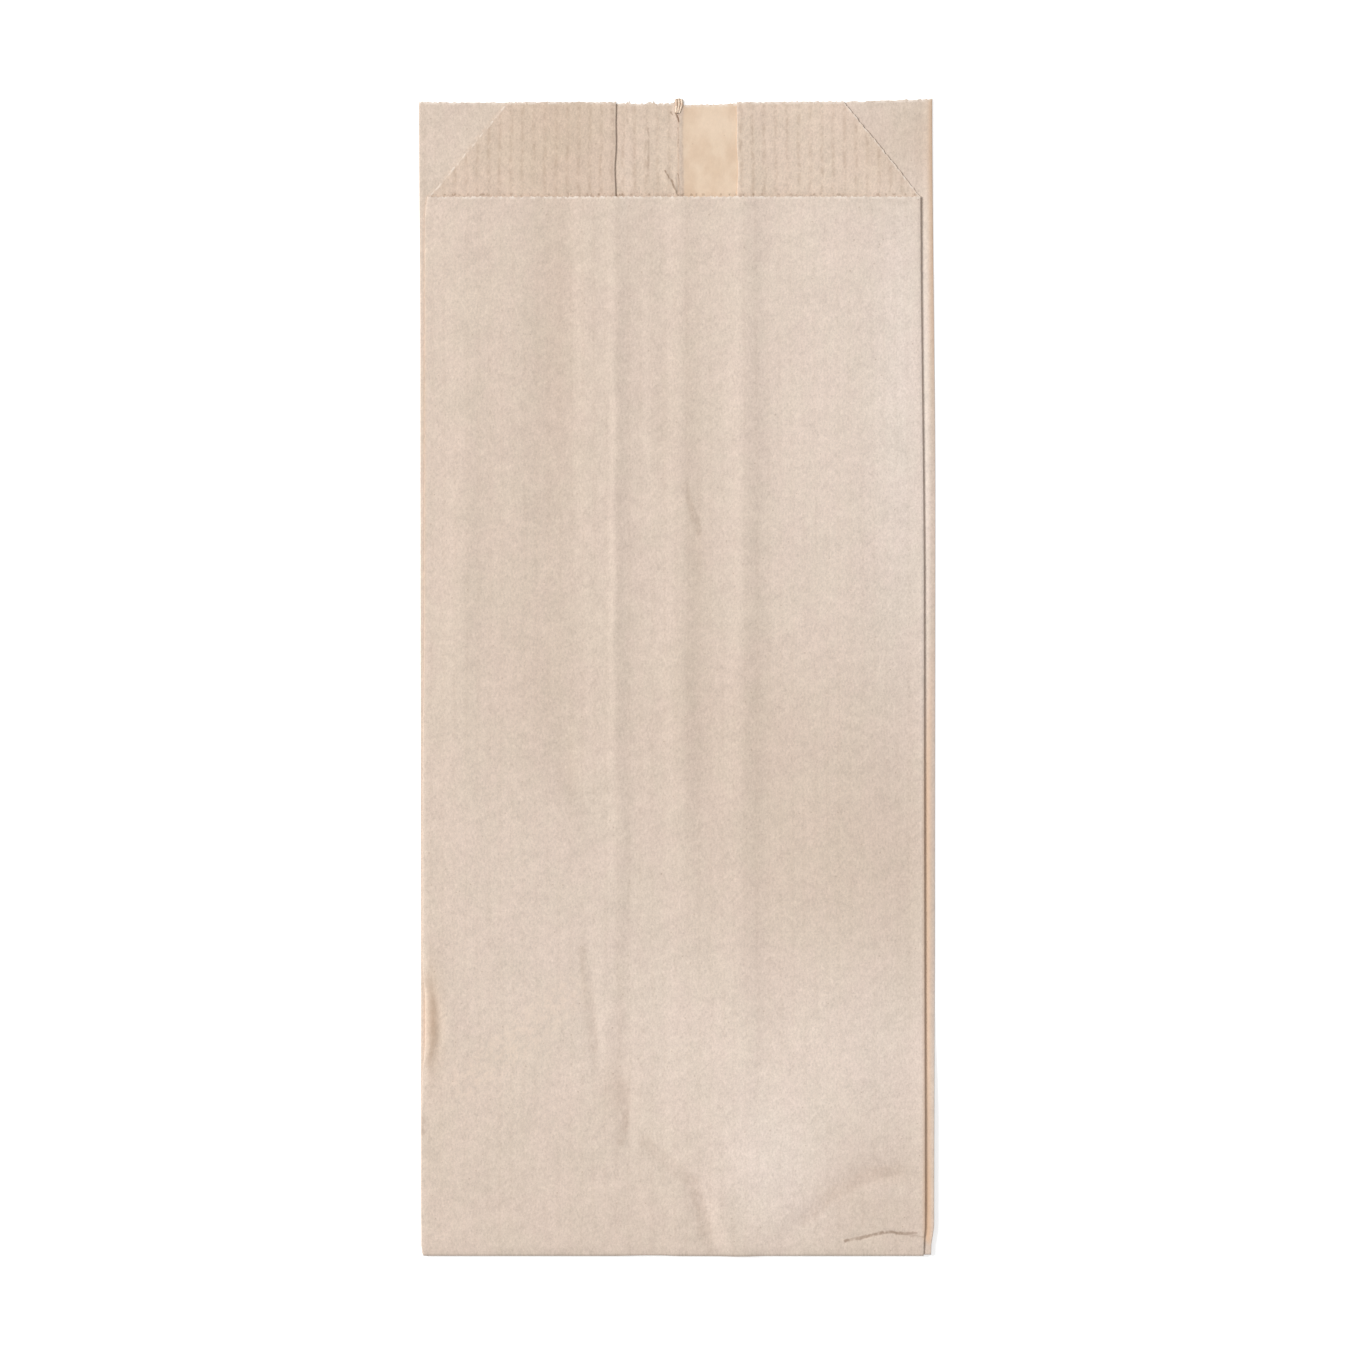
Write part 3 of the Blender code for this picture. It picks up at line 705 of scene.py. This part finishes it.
def mixed(nodes, links, share, first, second):
    """Two colours mixed by a share."""
    node = nodes.new("ShaderNodeMix")
    node.data_type = "RGBA"
    links.new(share, node.inputs["Factor"])
    for name, colour in (("A", first), ("B", second)):
        socket = next(s for s in node.inputs if s.name == name and s.type == "RGBA")
        if isinstance(colour, tuple):
            socket.default_value = colour
        else:
            links.new(colour, socket)
    return next(s for s in node.outputs if s.type == "RGBA")


def multiplied(nodes, links, colour, tint):
    """A colour multiplied by a tint."""
    node = nodes.new("ShaderNodeVectorMath")
    node.operation = "MULTIPLY"
    links.new(colour, node.inputs[0])
    links.new(tint, node.inputs[1])
    return node.outputs["Vector"]


def shade(colour, factor):
    """A colour made lighter or darker by a factor."""
    return tuple(min(part * factor, 1.0) for part in colour[:3]) + (1.0,)


def stored(nodes, name):
    """A value kept on the web's points."""
    node = nodes.new("ShaderNodeAttribute")
    node.attribute_name = name
    return node.outputs["Fac"]


def pulp_colour(nodes, links, place, body, contrast, fleck, mottle):
    """The body colour made darker and lighter by the contrast, along a sum of fleck, mottle and patch,
    then tinted in broad spots and multiplied by one plus the stored painted light and shade times a share a
    percent."""
    patch = noise(nodes, links, place, 120.0, detail=2.0, rough=0.5)
    tone = total(nodes, links, product(nodes, links, fleck, 0.64), product(nodes, links, mottle, 0.86))
    tone = total(nodes, links, tone, product(nodes, links, patch, 0.28))
    tone = mapped(nodes, links, tone, 1.02, 2.04, 0.0, 1.0, "LINEAR")
    colour = mixed(nodes, links, tone, shade(body, 1.0 - contrast), shade(body, 1.0 + contrast))
    tint = noise(nodes, links, place, 85.0, (1.0, 0.7, 1.0), 0.4, 5.0, 0.68)
    tint = mapped(nodes, links, tint, 0.36, 0.64, 0.0, 1.0)
    colour = multiplied(nodes, links, colour, mixed(nodes, links, tint, greener_pulp, pinker_pulp))
    painted_light_factor = nodes.new("ShaderNodeVectorMath")
    painted_light_factor.operation = "MULTIPLY_ADD"
    links.new(stored(nodes, "painted_light"), painted_light_factor.inputs[0])
    painted_light_factor.inputs[1].default_value = painted_light_tint_per_percent
    painted_light_factor.inputs[2].default_value = (1.0, 1.0, 1.0)
    return multiplied(nodes, links, colour, painted_light_factor.outputs["Vector"])


def bark_specks(nodes, links, place, scale, rarity, core, rim, strength):
    """Round specks, one in each Voronoi cell whose random colour passes the rarity, which fade from
    their core to their rim."""
    cells = nodes.new("ShaderNodeTexVoronoi")
    cells.inputs["Scale"].default_value = scale
    links.new(place, cells.inputs["Vector"])
    chosen = math_node(nodes, links, "GREATER_THAN", cells.outputs["Color"], rarity)
    speck = mapped(nodes, links, cells.outputs["Distance"], core, rim, strength, 0.0)
    return product(nodes, links, speck, chosen)


# The ribs are pressed into the inner face by the paper machine's felt, and run along the bag. The first
# is placed by one that shows in the mouth. Their grooves get a painted shade in brown as well as a bump.
rib_pitch = 0.002686
rib_groove_shade_brown = (0.36, 0.235, 0.15, 1.0)
crease_shade_brown = (0.22, 0.115, 0.06, 1.0)
in_front_gusset = column_ply == plies.index("gusset_front_left")
rib_start = float(np.interp(0.02046, -nominal_x[in_front_gusset], web_distance[in_front_gusset]))


def rib_lines(nodes, links, place, across, wander, broken, faded, depth):
    """Lines of even pitch: the distance to the nearest one, eased off to nothing at three tenths of
    the pitch, broken up by two noises and times the ribs' depth."""
    rib_place = math_node(nodes, links, "SUBTRACT", across, rib_start)
    rib_place = product(nodes, links, rib_place, 1.0 / rib_pitch)
    rib_place = total(nodes, links, rib_place, product(nodes, links, wander, 0.10))
    rib_saw = math_node(nodes, links, "PINGPONG", rib_place, 0.5)
    line = mapped(nodes, links, rib_saw, 0.0, 0.30, 1.0, 0.0)
    line = product(nodes, links, line, mapped(nodes, links, broken, 0.38, 0.60, 0.14, 1.15))
    line = product(nodes, links, line, mapped(nodes, links, faded, 0.35, 0.62, 0.55, 1.0))
    return product(nodes, links, line, depth)


def near_line(nodes, links, place, start, end, width):
    """Share that falls from 1 on a short straight line to 0 at its width.

    The foot on the line is its direction times the point's run along it, held between its two ends.
    """
    run = np.array(end) - np.array(start)
    offset = nodes.new("ShaderNodeVectorMath")
    offset.operation = "SUBTRACT"
    links.new(place, offset.inputs[0])
    offset.inputs[1].default_value = start
    along = nodes.new("ShaderNodeVectorMath")
    along.operation = "DOT_PRODUCT"
    links.new(offset.outputs["Vector"], along.inputs[0])
    along.inputs[1].default_value = tuple(run / np.dot(run, run))
    foot = nodes.new("ShaderNodeVectorMath")
    foot.operation = "SCALE"
    foot.inputs[0].default_value = tuple(run)
    held = mapped(nodes, links, along.outputs["Value"], 0.0, 1.0, 0.0, 1.0, "LINEAR")
    links.new(held, foot.inputs["Scale"])
    away = nodes.new("ShaderNodeVectorMath")
    away.operation = "DISTANCE"
    links.new(offset.outputs["Vector"], away.inputs[0])
    links.new(foot.outputs["Vector"], away.inputs[1])
    return mapped(nodes, links, away.outputs["Value"], 0.25 * width, width, 1.0, 0.0)


def on_web(ply_index, x_mm, v_mm):
    """A point of the flat web, in metres, from its ply and its x and distance from the mouth."""
    here = column_ply == ply_index
    order = np.argsort(nominal_x[here])
    web_across = float(np.interp(0.001 * x_mm, nominal_x[here][order], web_distance[here][order]))
    return (web_across, 0.001 * v_mm, 0.0)


def shaken_place(nodes, links, place):
    """The web's place moved by less than half a millimetre of noise, so that a line on it looks torn."""
    shake = nodes.new("ShaderNodeTexNoise")
    shake.inputs["Scale"].default_value = 700.0
    links.new(place, shake.inputs["Vector"])
    centred = nodes.new("ShaderNodeVectorMath")
    centred.operation = "SUBTRACT"
    links.new(shake.outputs["Color"], centred.inputs[0])
    centred.inputs[1].default_value = (0.5, 0.5, 0.5)
    shaken = nodes.new("ShaderNodeVectorMath")
    shaken.operation = "MULTIPLY_ADD"
    links.new(centred.outputs["Vector"], shaken.inputs[0])
    shaken.inputs[1].default_value = (0.0009, 0.0009, 0.0)
    links.new(place, shaken.inputs[2])
    return shaken.outputs["Vector"]


# Where the paper has been creased sharply, a dark line is painted along the crease: painted shade in
# the fold, with some darkening of the broken fibres. Each mark is a run of points (x, distance from the
# mouth), in millimetres, with its half width and how dark it is.
mouth_shade_marks = (
    (((-2.9, 17.0), (-2.1, 18.4), (-1.4, 19.3)), 0.26, 0.55),
    (((-1.4, 19.3), (-0.9, 20.6), (-0.4, 21.8), (0.1, 23.2)), 0.32, 0.70),
    (((0.2, 17.6), (0.3, 20.7)), 0.18, 0.55),
    (((-1.5, 3.5), (-1.1, 3.9)), 0.28, 0.70),
    (((-0.3, 3.7), (0.0, 4.6), (0.25, 5.6)), 0.32, 0.75),
    (((0.1, 6.9), (0.1, 7.6)), 0.20, 0.50),
    (((0.2, 9.7), (0.1, 11.2)), 0.18, 0.45),
    (((0.1, 12.3), (0.2, 14.4)), 0.18, 0.40),
    (((-6.75, 7.2), (-6.7, 12.0), (-6.8, 18.2)), 0.34, 0.26),
    (((-12.0, 2.0), (-11.6, 6.0)), 0.30, 0.20),
)
front_shade_marks = (
    (((-6.9, 243.0), (-1.9, 247.5), (4.0, 252.8), (6.2, 261.2), (7.9, 268.6)), 2.30, 0.13),
    (((-21.4, 198.0), (-20.2, 208.0), (-19.2, 221.0)), 1.80, 0.11),
    (((29.5, 261.2), (36.7, 254.2), (43.9, 250.8), (51.0, 249.4)), 2.40, 0.12),
    (((1.7, 90.2), (3.2, 95.0), (5.0, 101.2)), 1.30, 0.16),
    (((-12.2, 229.5), (-11.5, 235.0)), 2.10, 0.08),
    (((-11.5, 236.0), (-11.5, 239.0), (-12.4, 243.0)), 1.40, 0.15),
    (((-11.4, 237.4), (-11.3, 239.4)), 0.70, 0.24),
    (((38.6, 266.0), (42.0, 265.3), (45.4, 264.4), (48.4, 263.9), (51.4, 264.3),
      (54.6, 264.2)), 0.55, 0.50),
    (((53.6, 264.9), (57.2, 265.2)), 0.40, 0.40),
    (((-57.4, 204.0), (-55.9, 211.0), (-55.5, 219.0), (-57.0, 225.0)), 1.10, 0.15),
    (((-58.4, 237.8), (-57.6, 240.8)), 1.10, 0.22),
)


def crease_shadow(nodes, links, place, ply_index, marks):
    """The darkest of the marks' lines at each place, each one its nearness times its depth."""
    dark = None
    for run, half, depth in marks:
        ends = [on_web(ply_index, *point) for point in run]
        for start, end in zip(ends[:-1], ends[1:]):
            line = product(nodes, links, near_line(nodes, links, place, start, end, 0.001 * half), depth)
            dark = line if dark is None else math_node(nodes, links, "MAXIMUM", dark, line)
    return dark


# Paste: a strip of starch glue that has soaked into the back panel beside the seam and dried to a warm
# tan. Above it, dashes show where the front panel's cut shades the ribs.
paste_line = (web_distance[-1] - 0.0150, web_distance[-1] - 0.0010)
thin_paste = (0.77, 0.565, 0.395, 1.0)
thick_paste = (0.89, 0.70, 0.52, 1.0)
paste_strength = 0.72


def paste_share(nodes, links, across, wander, begin, end):
    """Share of paste: 1 between two edges that waver, each eased off over less than a millimetre."""
    placed = total(nodes, links, across, mapped(nodes, links, wander, 0.3, 0.7, -0.0003, 0.0003))
    after_begin = mapped(nodes, links, placed, begin - 0.0004, begin + 0.0004, 0.0, 1.0)
    before_end = mapped(nodes, links, placed, end - 0.0003, end + 0.0003, 1.0, 0.0)
    return product(nodes, links, after_begin, before_end)


def cut_shadow_dashes(nodes, links, along, broken):
    """Painted shadow: a broken line just above the front panel's cut, eased in over 0.1 mm and out by 0.8
    mm.
    """
    rows = math_node(nodes, links, "SUBTRACT", lip - 0.0001, along)
    line = product(
        nodes, links,
        mapped(nodes, links, rows, 0.0, 0.0001, 0.0, 1.0),
        mapped(nodes, links, rows, 0.0004, 0.0008, 1.0, 0.0),
    )
    return product(nodes, links, line, mapped(nodes, links, broken, 0.52, 0.62, 0.03, 0.42))


# The outer face is scuffed pale across the left side, and turned a warm orange where the stored
# value says: rubbing with painted shade on the right-hand fold, and painted shade in the left pocket. At
# the cuts, the torn fibres are pale, with a painted highlight where the cut edge catches the light.
scuffed_tan = (0.86, 0.68, 0.54, 1.0)
scuff_ends = ((-48.0, 229.0), (-24.0, 208.0))
scuff_width = 0.0066
rubbed_and_shaded_orange = (0.86, 0.55, 0.34, 1.0)
rubbed_and_shaded_strength = 0.60
fluff_highlight_cream = (0.93, 0.82, 0.72, 1.0)
fluff_highlight_reach = 0.0010


def kraft(name, body, contrast, rib_depth, ply_index, marks, paste):
    """Kraft paper: fibre flecks, mottled pulp with broad patches of painted light and shade, ribs along the
    bag with painted shade in their grooves, specks, painted shade along creases, and pale fluff with a
    painted highlight at the cuts."""
    material, nodes, links, shader = new_material(name)
    web = nodes.new("ShaderNodeUVMap")
    web.uv_map = "web"
    place = web.outputs["UV"]
    split = nodes.new("ShaderNodeSeparateXYZ")
    links.new(place, split.inputs["Vector"])
    across = split.outputs["X"]

    mottle = noise(nodes, links, place, 430.0, (1.0, 0.9, 1.0), 0.5, 5.0, 0.74)
    left_fibres = noise(nodes, links, place, 1400.0, (1.5, 0.8, 1.0), 0.5, 2.0, 0.65)
    right_fibres = noise(nodes, links, place, 1400.0, (1.4, 0.8, 1.0), -0.9, 2.0, 0.65)
    grain = noise(nodes, links, place, 3000.0, (1.0, 1.0, 1.0), 0.0, 2.0, 0.6)
    fleck = total(nodes, links, total(nodes, links, left_fibres, right_fibres), grain)
    colour = pulp_colour(nodes, links, place, body, contrast, fleck, mottle)

    wander = noise(nodes, links, place, 60.0, (1.0, 0.4, 1.0), 0.0, 2.0)
    broken = noise(nodes, links, place, 900.0, (1.0, 0.55, 1.0), 0.0, 2.0)
    faded = noise(nodes, links, place, 110.0, (1.0, 0.5, 1.0), 0.0, 2.0)
    rib_share = rib_lines(nodes, links, place, across, wander, broken, faded, rib_depth)
    shaken = shaken_place(nodes, links, place)
    dark = crease_shadow(nodes, links, shaken, ply_index, marks)

    if paste:
        inside = paste_share(nodes, links, across, wander, *paste)
        dabs = noise(nodes, links, place, 170.0, (1.0, 0.6, 1.0), 0.0, 3.0)
        dabs = mapped(nodes, links, dabs, 0.35, 0.65, 0.0, 1.0)
        paste_colour = mixed(nodes, links, dabs, thin_paste, thick_paste)
        colour = mixed(nodes, links, product(nodes, links, inside, paste_strength), colour, paste_colour)
        filled = product(nodes, links, inside, 0.9)
        rib_share = product(nodes, links, rib_share, math_node(nodes, links, "SUBTRACT", 1.0, filled))
        dark = math_node(nodes, links, "MAXIMUM", dark, cut_shadow_dashes(nodes, links, split.outputs["Y"], broken))
    # Painted shade in the ribs' grooves.
    colour = mixed(nodes, links, rib_share, colour, rib_groove_shade_brown)
    if marks and not paste:
        scuff_line = [on_web(ply_index, *point) for point in scuff_ends]
        scuff = near_line(nodes, links, shaken, *scuff_line, scuff_width)
        scuff = product(nodes, links, scuff, mapped(nodes, links, mottle, 0.44, 0.60, 0.0, 0.26))
        colour = mixed(nodes, links, scuff, colour, scuffed_tan)
    # Painted shade along the creases, broken up and faded.
    if dark is not None:
        dark = product(nodes, links, dark, mapped(nodes, links, broken, 0.34, 0.56, 0.45, 1.05))
        dark = product(nodes, links, dark, mapped(nodes, links, faded, 0.38, 0.58, 0.60, 1.05))
        colour = mixed(nodes, links, dark, colour, crease_shade_brown)

    specks = bark_specks(nodes, links, place, 260.0, 0.90, 0.03, 0.10, 0.36)
    colour = mixed(nodes, links, specks, colour, bark_brown)
    small_specks = bark_specks(nodes, links, place, 540.0, 0.70, 0.04, 0.13, 0.30)
    colour = mixed(nodes, links, small_specks, colour, small_bark_brown)
    # Warm orange of rubbing and of painted shade, where the stored value says.
    rubbed_and_shaded_share = product(nodes, links, stored(nodes, "rubbed_and_shaded"), rubbed_and_shaded_strength)
    colour = mixed(nodes, links, rubbed_and_shaded_share, colour, rubbed_and_shaded_orange)
    # Pale torn fibres at the cuts, with a painted highlight.
    fluff = mapped(nodes, links, stored(nodes, "from_cut"), 0.0, fluff_highlight_reach, 0.85, 0.0)
    fluff = product(nodes, links, fluff, mapped(nodes, links, broken, 0.40, 0.60, 0.12, 1.0))
    colour = mixed(nodes, links, fluff, colour, fluff_highlight_cream)
    links.new(colour, shader.inputs["Base Color"])

    shader.inputs["Roughness"].default_value = 0.82
    shader.inputs["Specular IOR Level"].default_value = 0.25
    rib_dent = product(nodes, links, rib_share, 1.2)
    bump_height = math_node(nodes, links, "SUBTRACT", product(nodes, links, fleck, 0.4), rib_dent)
    bump = nodes.new("ShaderNodeBump")
    bump.inputs["Strength"].default_value = 0.30
    bump.inputs["Distance"].default_value = 0.00008
    links.new(bump_height, bump.inputs["Height"])
    links.new(bump.outputs["Normal"], shader.inputs["Normal"])
    return material


front_ply = plies.index("front")
back_ply = plies.index("back_outer")
sheet_mesh.materials.append(kraft("kraft_outer", outer_kraft, 0.24, 0.055, front_ply, front_shade_marks, None))
sheet_mesh.materials.append(kraft("kraft_inner", inner_kraft, 0.26, 0.25, back_ply, mouth_shade_marks, paste_line))
sheet_mesh.materials.append(kraft("kraft_cut_edge", cut_kraft, 0.10, 0.0, back_ply, (), None))

graph = bpy.context.evaluated_depsgraph_get()
solid_mesh = bpy.data.meshes.new_from_object(sheet.evaluated_get(graph))
sheet.modifiers.clear()
sheet.data = solid_mesh
solid_mesh.shade_smooth()
solid_mesh.set_sharp_from_angle(angle=math.radians(50.0))
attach(sheet, "root")
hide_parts("paper_bag")

# The knife leaves fluff: fibres and slivers of paper that stand out of the mouth's cut, most of them
# shorter than a millimetre. A few larger tufts stand where a tooth has torn the paper.
fluff_root = 0.0001
tuft_root = 0.00025
tuft_curl = 0.00012


def fluff_mesh(name, roots, direction, length, radius, curl):
    """Slivers of three sides that taper from a root to a point.

    Each sliver's centre runs along its direction by a share of its length, and rises by its curl times
    that share squared. Its corners stand around the centre at its radius times one less the share.
    """
    share = np.linspace(0.0, 1.0, 5)[None, :, None]
    centre = roots[:, None] + direction[:, None] * length[:, None, None] * share
    centre = centre + np.array([0.0, 0.0, 1.0]) * (curl[:, None, None] * share ** 2)
    angle = 2.0 * math.pi * np.arange(3) / 3.0
    around = np.stack([np.cos(angle), 0.0 * angle, 0.5 * np.sin(angle)], axis=-1)
    width = radius[:, None, None] * (1.04 - share)
    corners = centre[:, :, None] + width[..., None] * around
    rings = np.arange(corners.size // 3).reshape(corners.shape[:3])
    turned = np.roll(rings, -1, axis=2)
    sides = np.stack([rings[:, :-1], turned[:, :-1], turned[:, 1:], rings[:, 1:]], axis=-1).reshape(-1, 4)
    mesh = bpy.data.meshes.new(name)
    caps = rings[:, 0, ::-1].tolist() + rings[:, -1].tolist()
    mesh.from_pydata(corners.reshape(-1, 3).tolist(), [], sides.tolist() + caps)
    return mesh


chance = np.random.default_rng(11)
small_count = 420
shown = np.flatnonzero(np.abs(mouth_edge[:, 0]) < half_width - 0.001)
picked = chance.choice(shown, small_count)
leaning = chance.normal(0.0, 0.6, small_count)
small_roots = mouth_edge[picked] - np.array([0.0, fluff_root, 0.0])
small_direction = np.stack([np.sin(leaning), np.cos(leaning), 0.0 * leaning], axis=-1)
small_length = chance.uniform(0.00015, 0.00055, small_count)
small_radius = chance.uniform(0.00003, 0.00007, small_count)
small_curl = chance.uniform(0.0, 0.00020, small_count)

# Each larger tuft: its ply, x, length, thickness and lean, the lengths in millimetres
tufts = (
    ("back_outer", -11.3, 0.8, 0.34, 0.3),
    ("back_outer", -11.0, 0.6, 0.30, -0.5),
    ("back_outer", -5.7, 0.9, 0.40, 0.2),
    ("back_outer", -5.2, 0.7, 0.34, -0.3),
    ("back_outer", -0.3, 0.7, 0.30, 0.5),
    ("front", -3.2, 1.0, 0.26, 0.9),
    ("front", 8.2, 0.9, 0.30, 0.4),
    ("front", 13.6, 1.3, 0.24, -0.5),
    ("front", 25.4, 1.2, 0.26, 0.6),
    ("front", 26.0, 1.0, 0.26, -0.4),
    ("front", -54.0, 0.8, 0.26, 0.8),
    ("front", -50.6, 0.8, 0.24, -0.7),
    ("front", 34.5, 0.8, 0.22, 0.9),
    ("front", 46.0, 0.7, 0.22, -0.8),
)
fine_ply = np.interp(fine_index, column_index, nearest_ply)
tuft_index = []
for tuft in tufts:
    here = np.flatnonzero(fine_ply == plies.index(tuft[0]))
    tuft_index.append(here[np.argmin(np.abs(mouth_edge[here, 0] - 0.001 * tuft[1]))])
tuft_roots = mouth_edge[tuft_index] - np.array([0.0, tuft_root, 0.0])
tuft_length, tuft_thickness, tuft_lean = np.array([tuft[2:] for tuft in tufts]).T
tuft_direction = np.stack([np.sin(tuft_lean), np.cos(tuft_lean), 0.0 * tuft_lean], axis=-1)
fluff = fluff_mesh(
    "cut_fluff",
    np.concatenate([small_roots, tuft_roots]),
    np.concatenate([small_direction, tuft_direction]),
    np.concatenate([small_length, 0.001 * tuft_length]),
    np.concatenate([small_radius, 0.0005 * tuft_thickness]),
    np.concatenate([small_curl, np.full(len(tufts), tuft_curl)]),
)


def plain_paper(name, body, dark):
    """Loose fibres of the same pulp: one colour, mottled."""
    material, nodes, links, shader = new_material(name)
    coords = nodes.new("ShaderNodeTexCoord")
    mottle = noise(nodes, links, coords.outputs["Object"], 1500.0)
    share = mapped(nodes, links, mottle, 0.35, 0.65, 0.0, 1.0)
    links.new(mixed(nodes, links, share, dark, body), shader.inputs["Base Color"])
    shader.inputs["Roughness"].default_value = 0.9
    shader.inputs["Specular IOR Level"].default_value = 0.2
    return material


pale_fibre = (0.90, 0.79, 0.68, 1.0)
dark_fibre = (0.72, 0.58, 0.46, 1.0)
fluff.materials.append(plain_paper("kraft_fluff", pale_fibre, dark_fibre))
fluff_object = bpy.data.objects.new("cut_fluff", fluff)
bpy.context.scene.collection.objects.link(fluff_object)
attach(fluff_object, "root")
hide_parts("paper_bag")

# A scrap of the same paper, which the knife has torn at the seam's inner edge, still hangs in the mouth.
# It has curled up in two rolls and narrows towards its loose end.
scrap_paper = 0.00008
pale_scrap = (0.86, 0.72, 0.58, 1.0)
dark_scrap = (0.64, 0.46, 0.34, 1.0)
scrap_across, scrap_along = np.meshgrid(np.linspace(-1.0, 1.0, 25), np.linspace(0.0, 1.0, 19))
scrap_narrowing = 1.0 - 0.45 * scrap_along ** 2
scrap_x = 0.00030 + 0.00100 * scrap_across * scrap_narrowing + 0.00015 * np.sin(5.0 * scrap_along)
scrap_v = 0.00025 + 0.00340 * scrap_along + 0.00030 * scrap_across ** 2 * (1.0 - scrap_along)
scrap_rolls = np.abs(np.sin(1.5 * math.pi * (scrap_across + 0.33)))
scrap_z = path_z[0, 0] + 0.00022 + 0.00030 * scrap_rolls + 0.00012 * (1.0 - scrap_along) ** 2
scrap_vertices = np.stack([scrap_x, half_length - scrap_v, scrap_z], axis=-1)
scrap_grid = np.arange(scrap_x.size).reshape(scrap_x.shape)
scrap_quads = np.stack([
    scrap_grid[:-1, :-1], scrap_grid[1:, :-1], scrap_grid[1:, 1:], scrap_grid[:-1, 1:],
], axis=-1).reshape(-1, 4)
scrap_mesh = bpy.data.meshes.new("torn_scrap")
scrap_mesh.from_pydata(scrap_vertices.reshape(-1, 3).tolist(), [], scrap_quads.tolist())
scrap_mesh.materials.append(plain_paper("kraft_scrap", pale_scrap, dark_scrap))
scrap = bpy.data.objects.new("torn_scrap", scrap_mesh)
bpy.context.scene.collection.objects.link(scrap)
scrap_body = scrap.modifiers.new("paper", "SOLIDIFY")
scrap_body.thickness = scrap_paper
scrap_body.offset = 0.0
scrap_solid = bpy.data.meshes.new_from_object(scrap.evaluated_get(bpy.context.evaluated_depsgraph_get()))
scrap.modifiers.clear()
scrap.data = scrap_solid
scrap_solid.shade_smooth()
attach(scrap, "root")
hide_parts("paper_bag")

# The table: a plain white sheet, a hair under the bag, which keeps the bag's soft shadow. It glows a
# little for the camera, which makes it the photograph's white without more light on the bag.
reach = 3.0
floor_z = low.z - 0.00002
table_white = (0.80, 0.80, 0.80, 1.0)
table_glow = 0.58
floor_mesh = bpy.data.meshes.new("white_table")
floor_mesh.from_pydata(
    [(-reach, -reach, floor_z), (reach, -reach, floor_z), (reach, reach, floor_z), (-reach, reach, floor_z)],
    [], [(0, 1, 2, 3)],
)
floor = bpy.data.objects.new("white_table", floor_mesh)
bpy.context.scene.collection.objects.link(floor)
white, nodes, links, shader = new_material("white_table")
shader.inputs["Base Color"].default_value = table_white
shader.inputs["Roughness"].default_value = 0.9
shader.inputs["Specular IOR Level"].default_value = 0.0
glow = nodes.new("ShaderNodeEmission")
glow.inputs["Color"].default_value = (1.0, 1.0, 1.0, 1.0)
rays = nodes.new("ShaderNodeLightPath")
seen = math_node(nodes, links, "MAXIMUM", rays.outputs["Is Camera Ray"], rays.outputs["Is Glossy Ray"])
seen = math_node(nodes, links, "MAXIMUM", seen, rays.outputs["Is Transmission Ray"])
links.new(product(nodes, links, seen, table_glow), glow.inputs["Strength"])
added = nodes.new("ShaderNodeAddShader")
links.new(shader.outputs["BSDF"], added.inputs[0])
links.new(glow.outputs["Emission"], added.inputs[1])
links.new(added.outputs["Shader"], nodes["Material Output"].inputs["Surface"])
floor_mesh.materials.append(white)

# Studio: a large soft lamp high on the left beyond the mouth, and an even white room.
world = bpy.data.worlds.new("white_room")
bpy.context.scene.world = world
world.use_nodes = True
room = world.node_tree.nodes["Background"]
room.inputs["Color"].default_value = (1.0, 1.0, 1.0, 1.0)
room.inputs["Strength"].default_value = 0.40

lamp_data = bpy.data.lights.new("window_lamp", "AREA")
lamp_data.shape = "RECTANGLE"
lamp_data.size = 2.1
lamp_data.size_y = 2.1
lamp_data.energy = 330.0
lamp = bpy.data.objects.new("window_lamp", lamp_data)
bpy.context.scene.collection.objects.link(lamp)
lamp.location = (-4.35, 1.65, 3.45)
lamp.rotation_euler = (-lamp.location).to_track_quat("-Z", "Y").to_euler()

# Camera: straight above the bag, far off, with the photograph's field of view.
photo_width = 0.3151
camera_height = 1.6
sensor_width = 36.0
camera_data = bpy.data.cameras.new("overhead_camera")
camera_data.type = "PERSP"
camera_data.sensor_width = sensor_width
camera_data.lens = sensor_width * (camera_height - high.z) / photo_width
camera_data.clip_start = 0.1
camera_data.clip_end = 20.0
camera = bpy.data.objects.new("overhead_camera", camera_data)
camera.location = (0.0, 0.0, camera_height)
bpy.context.scene.collection.objects.link(camera)
bpy.context.scene.camera = camera
bpy.context.scene.view_settings.view_transform = "Standard"
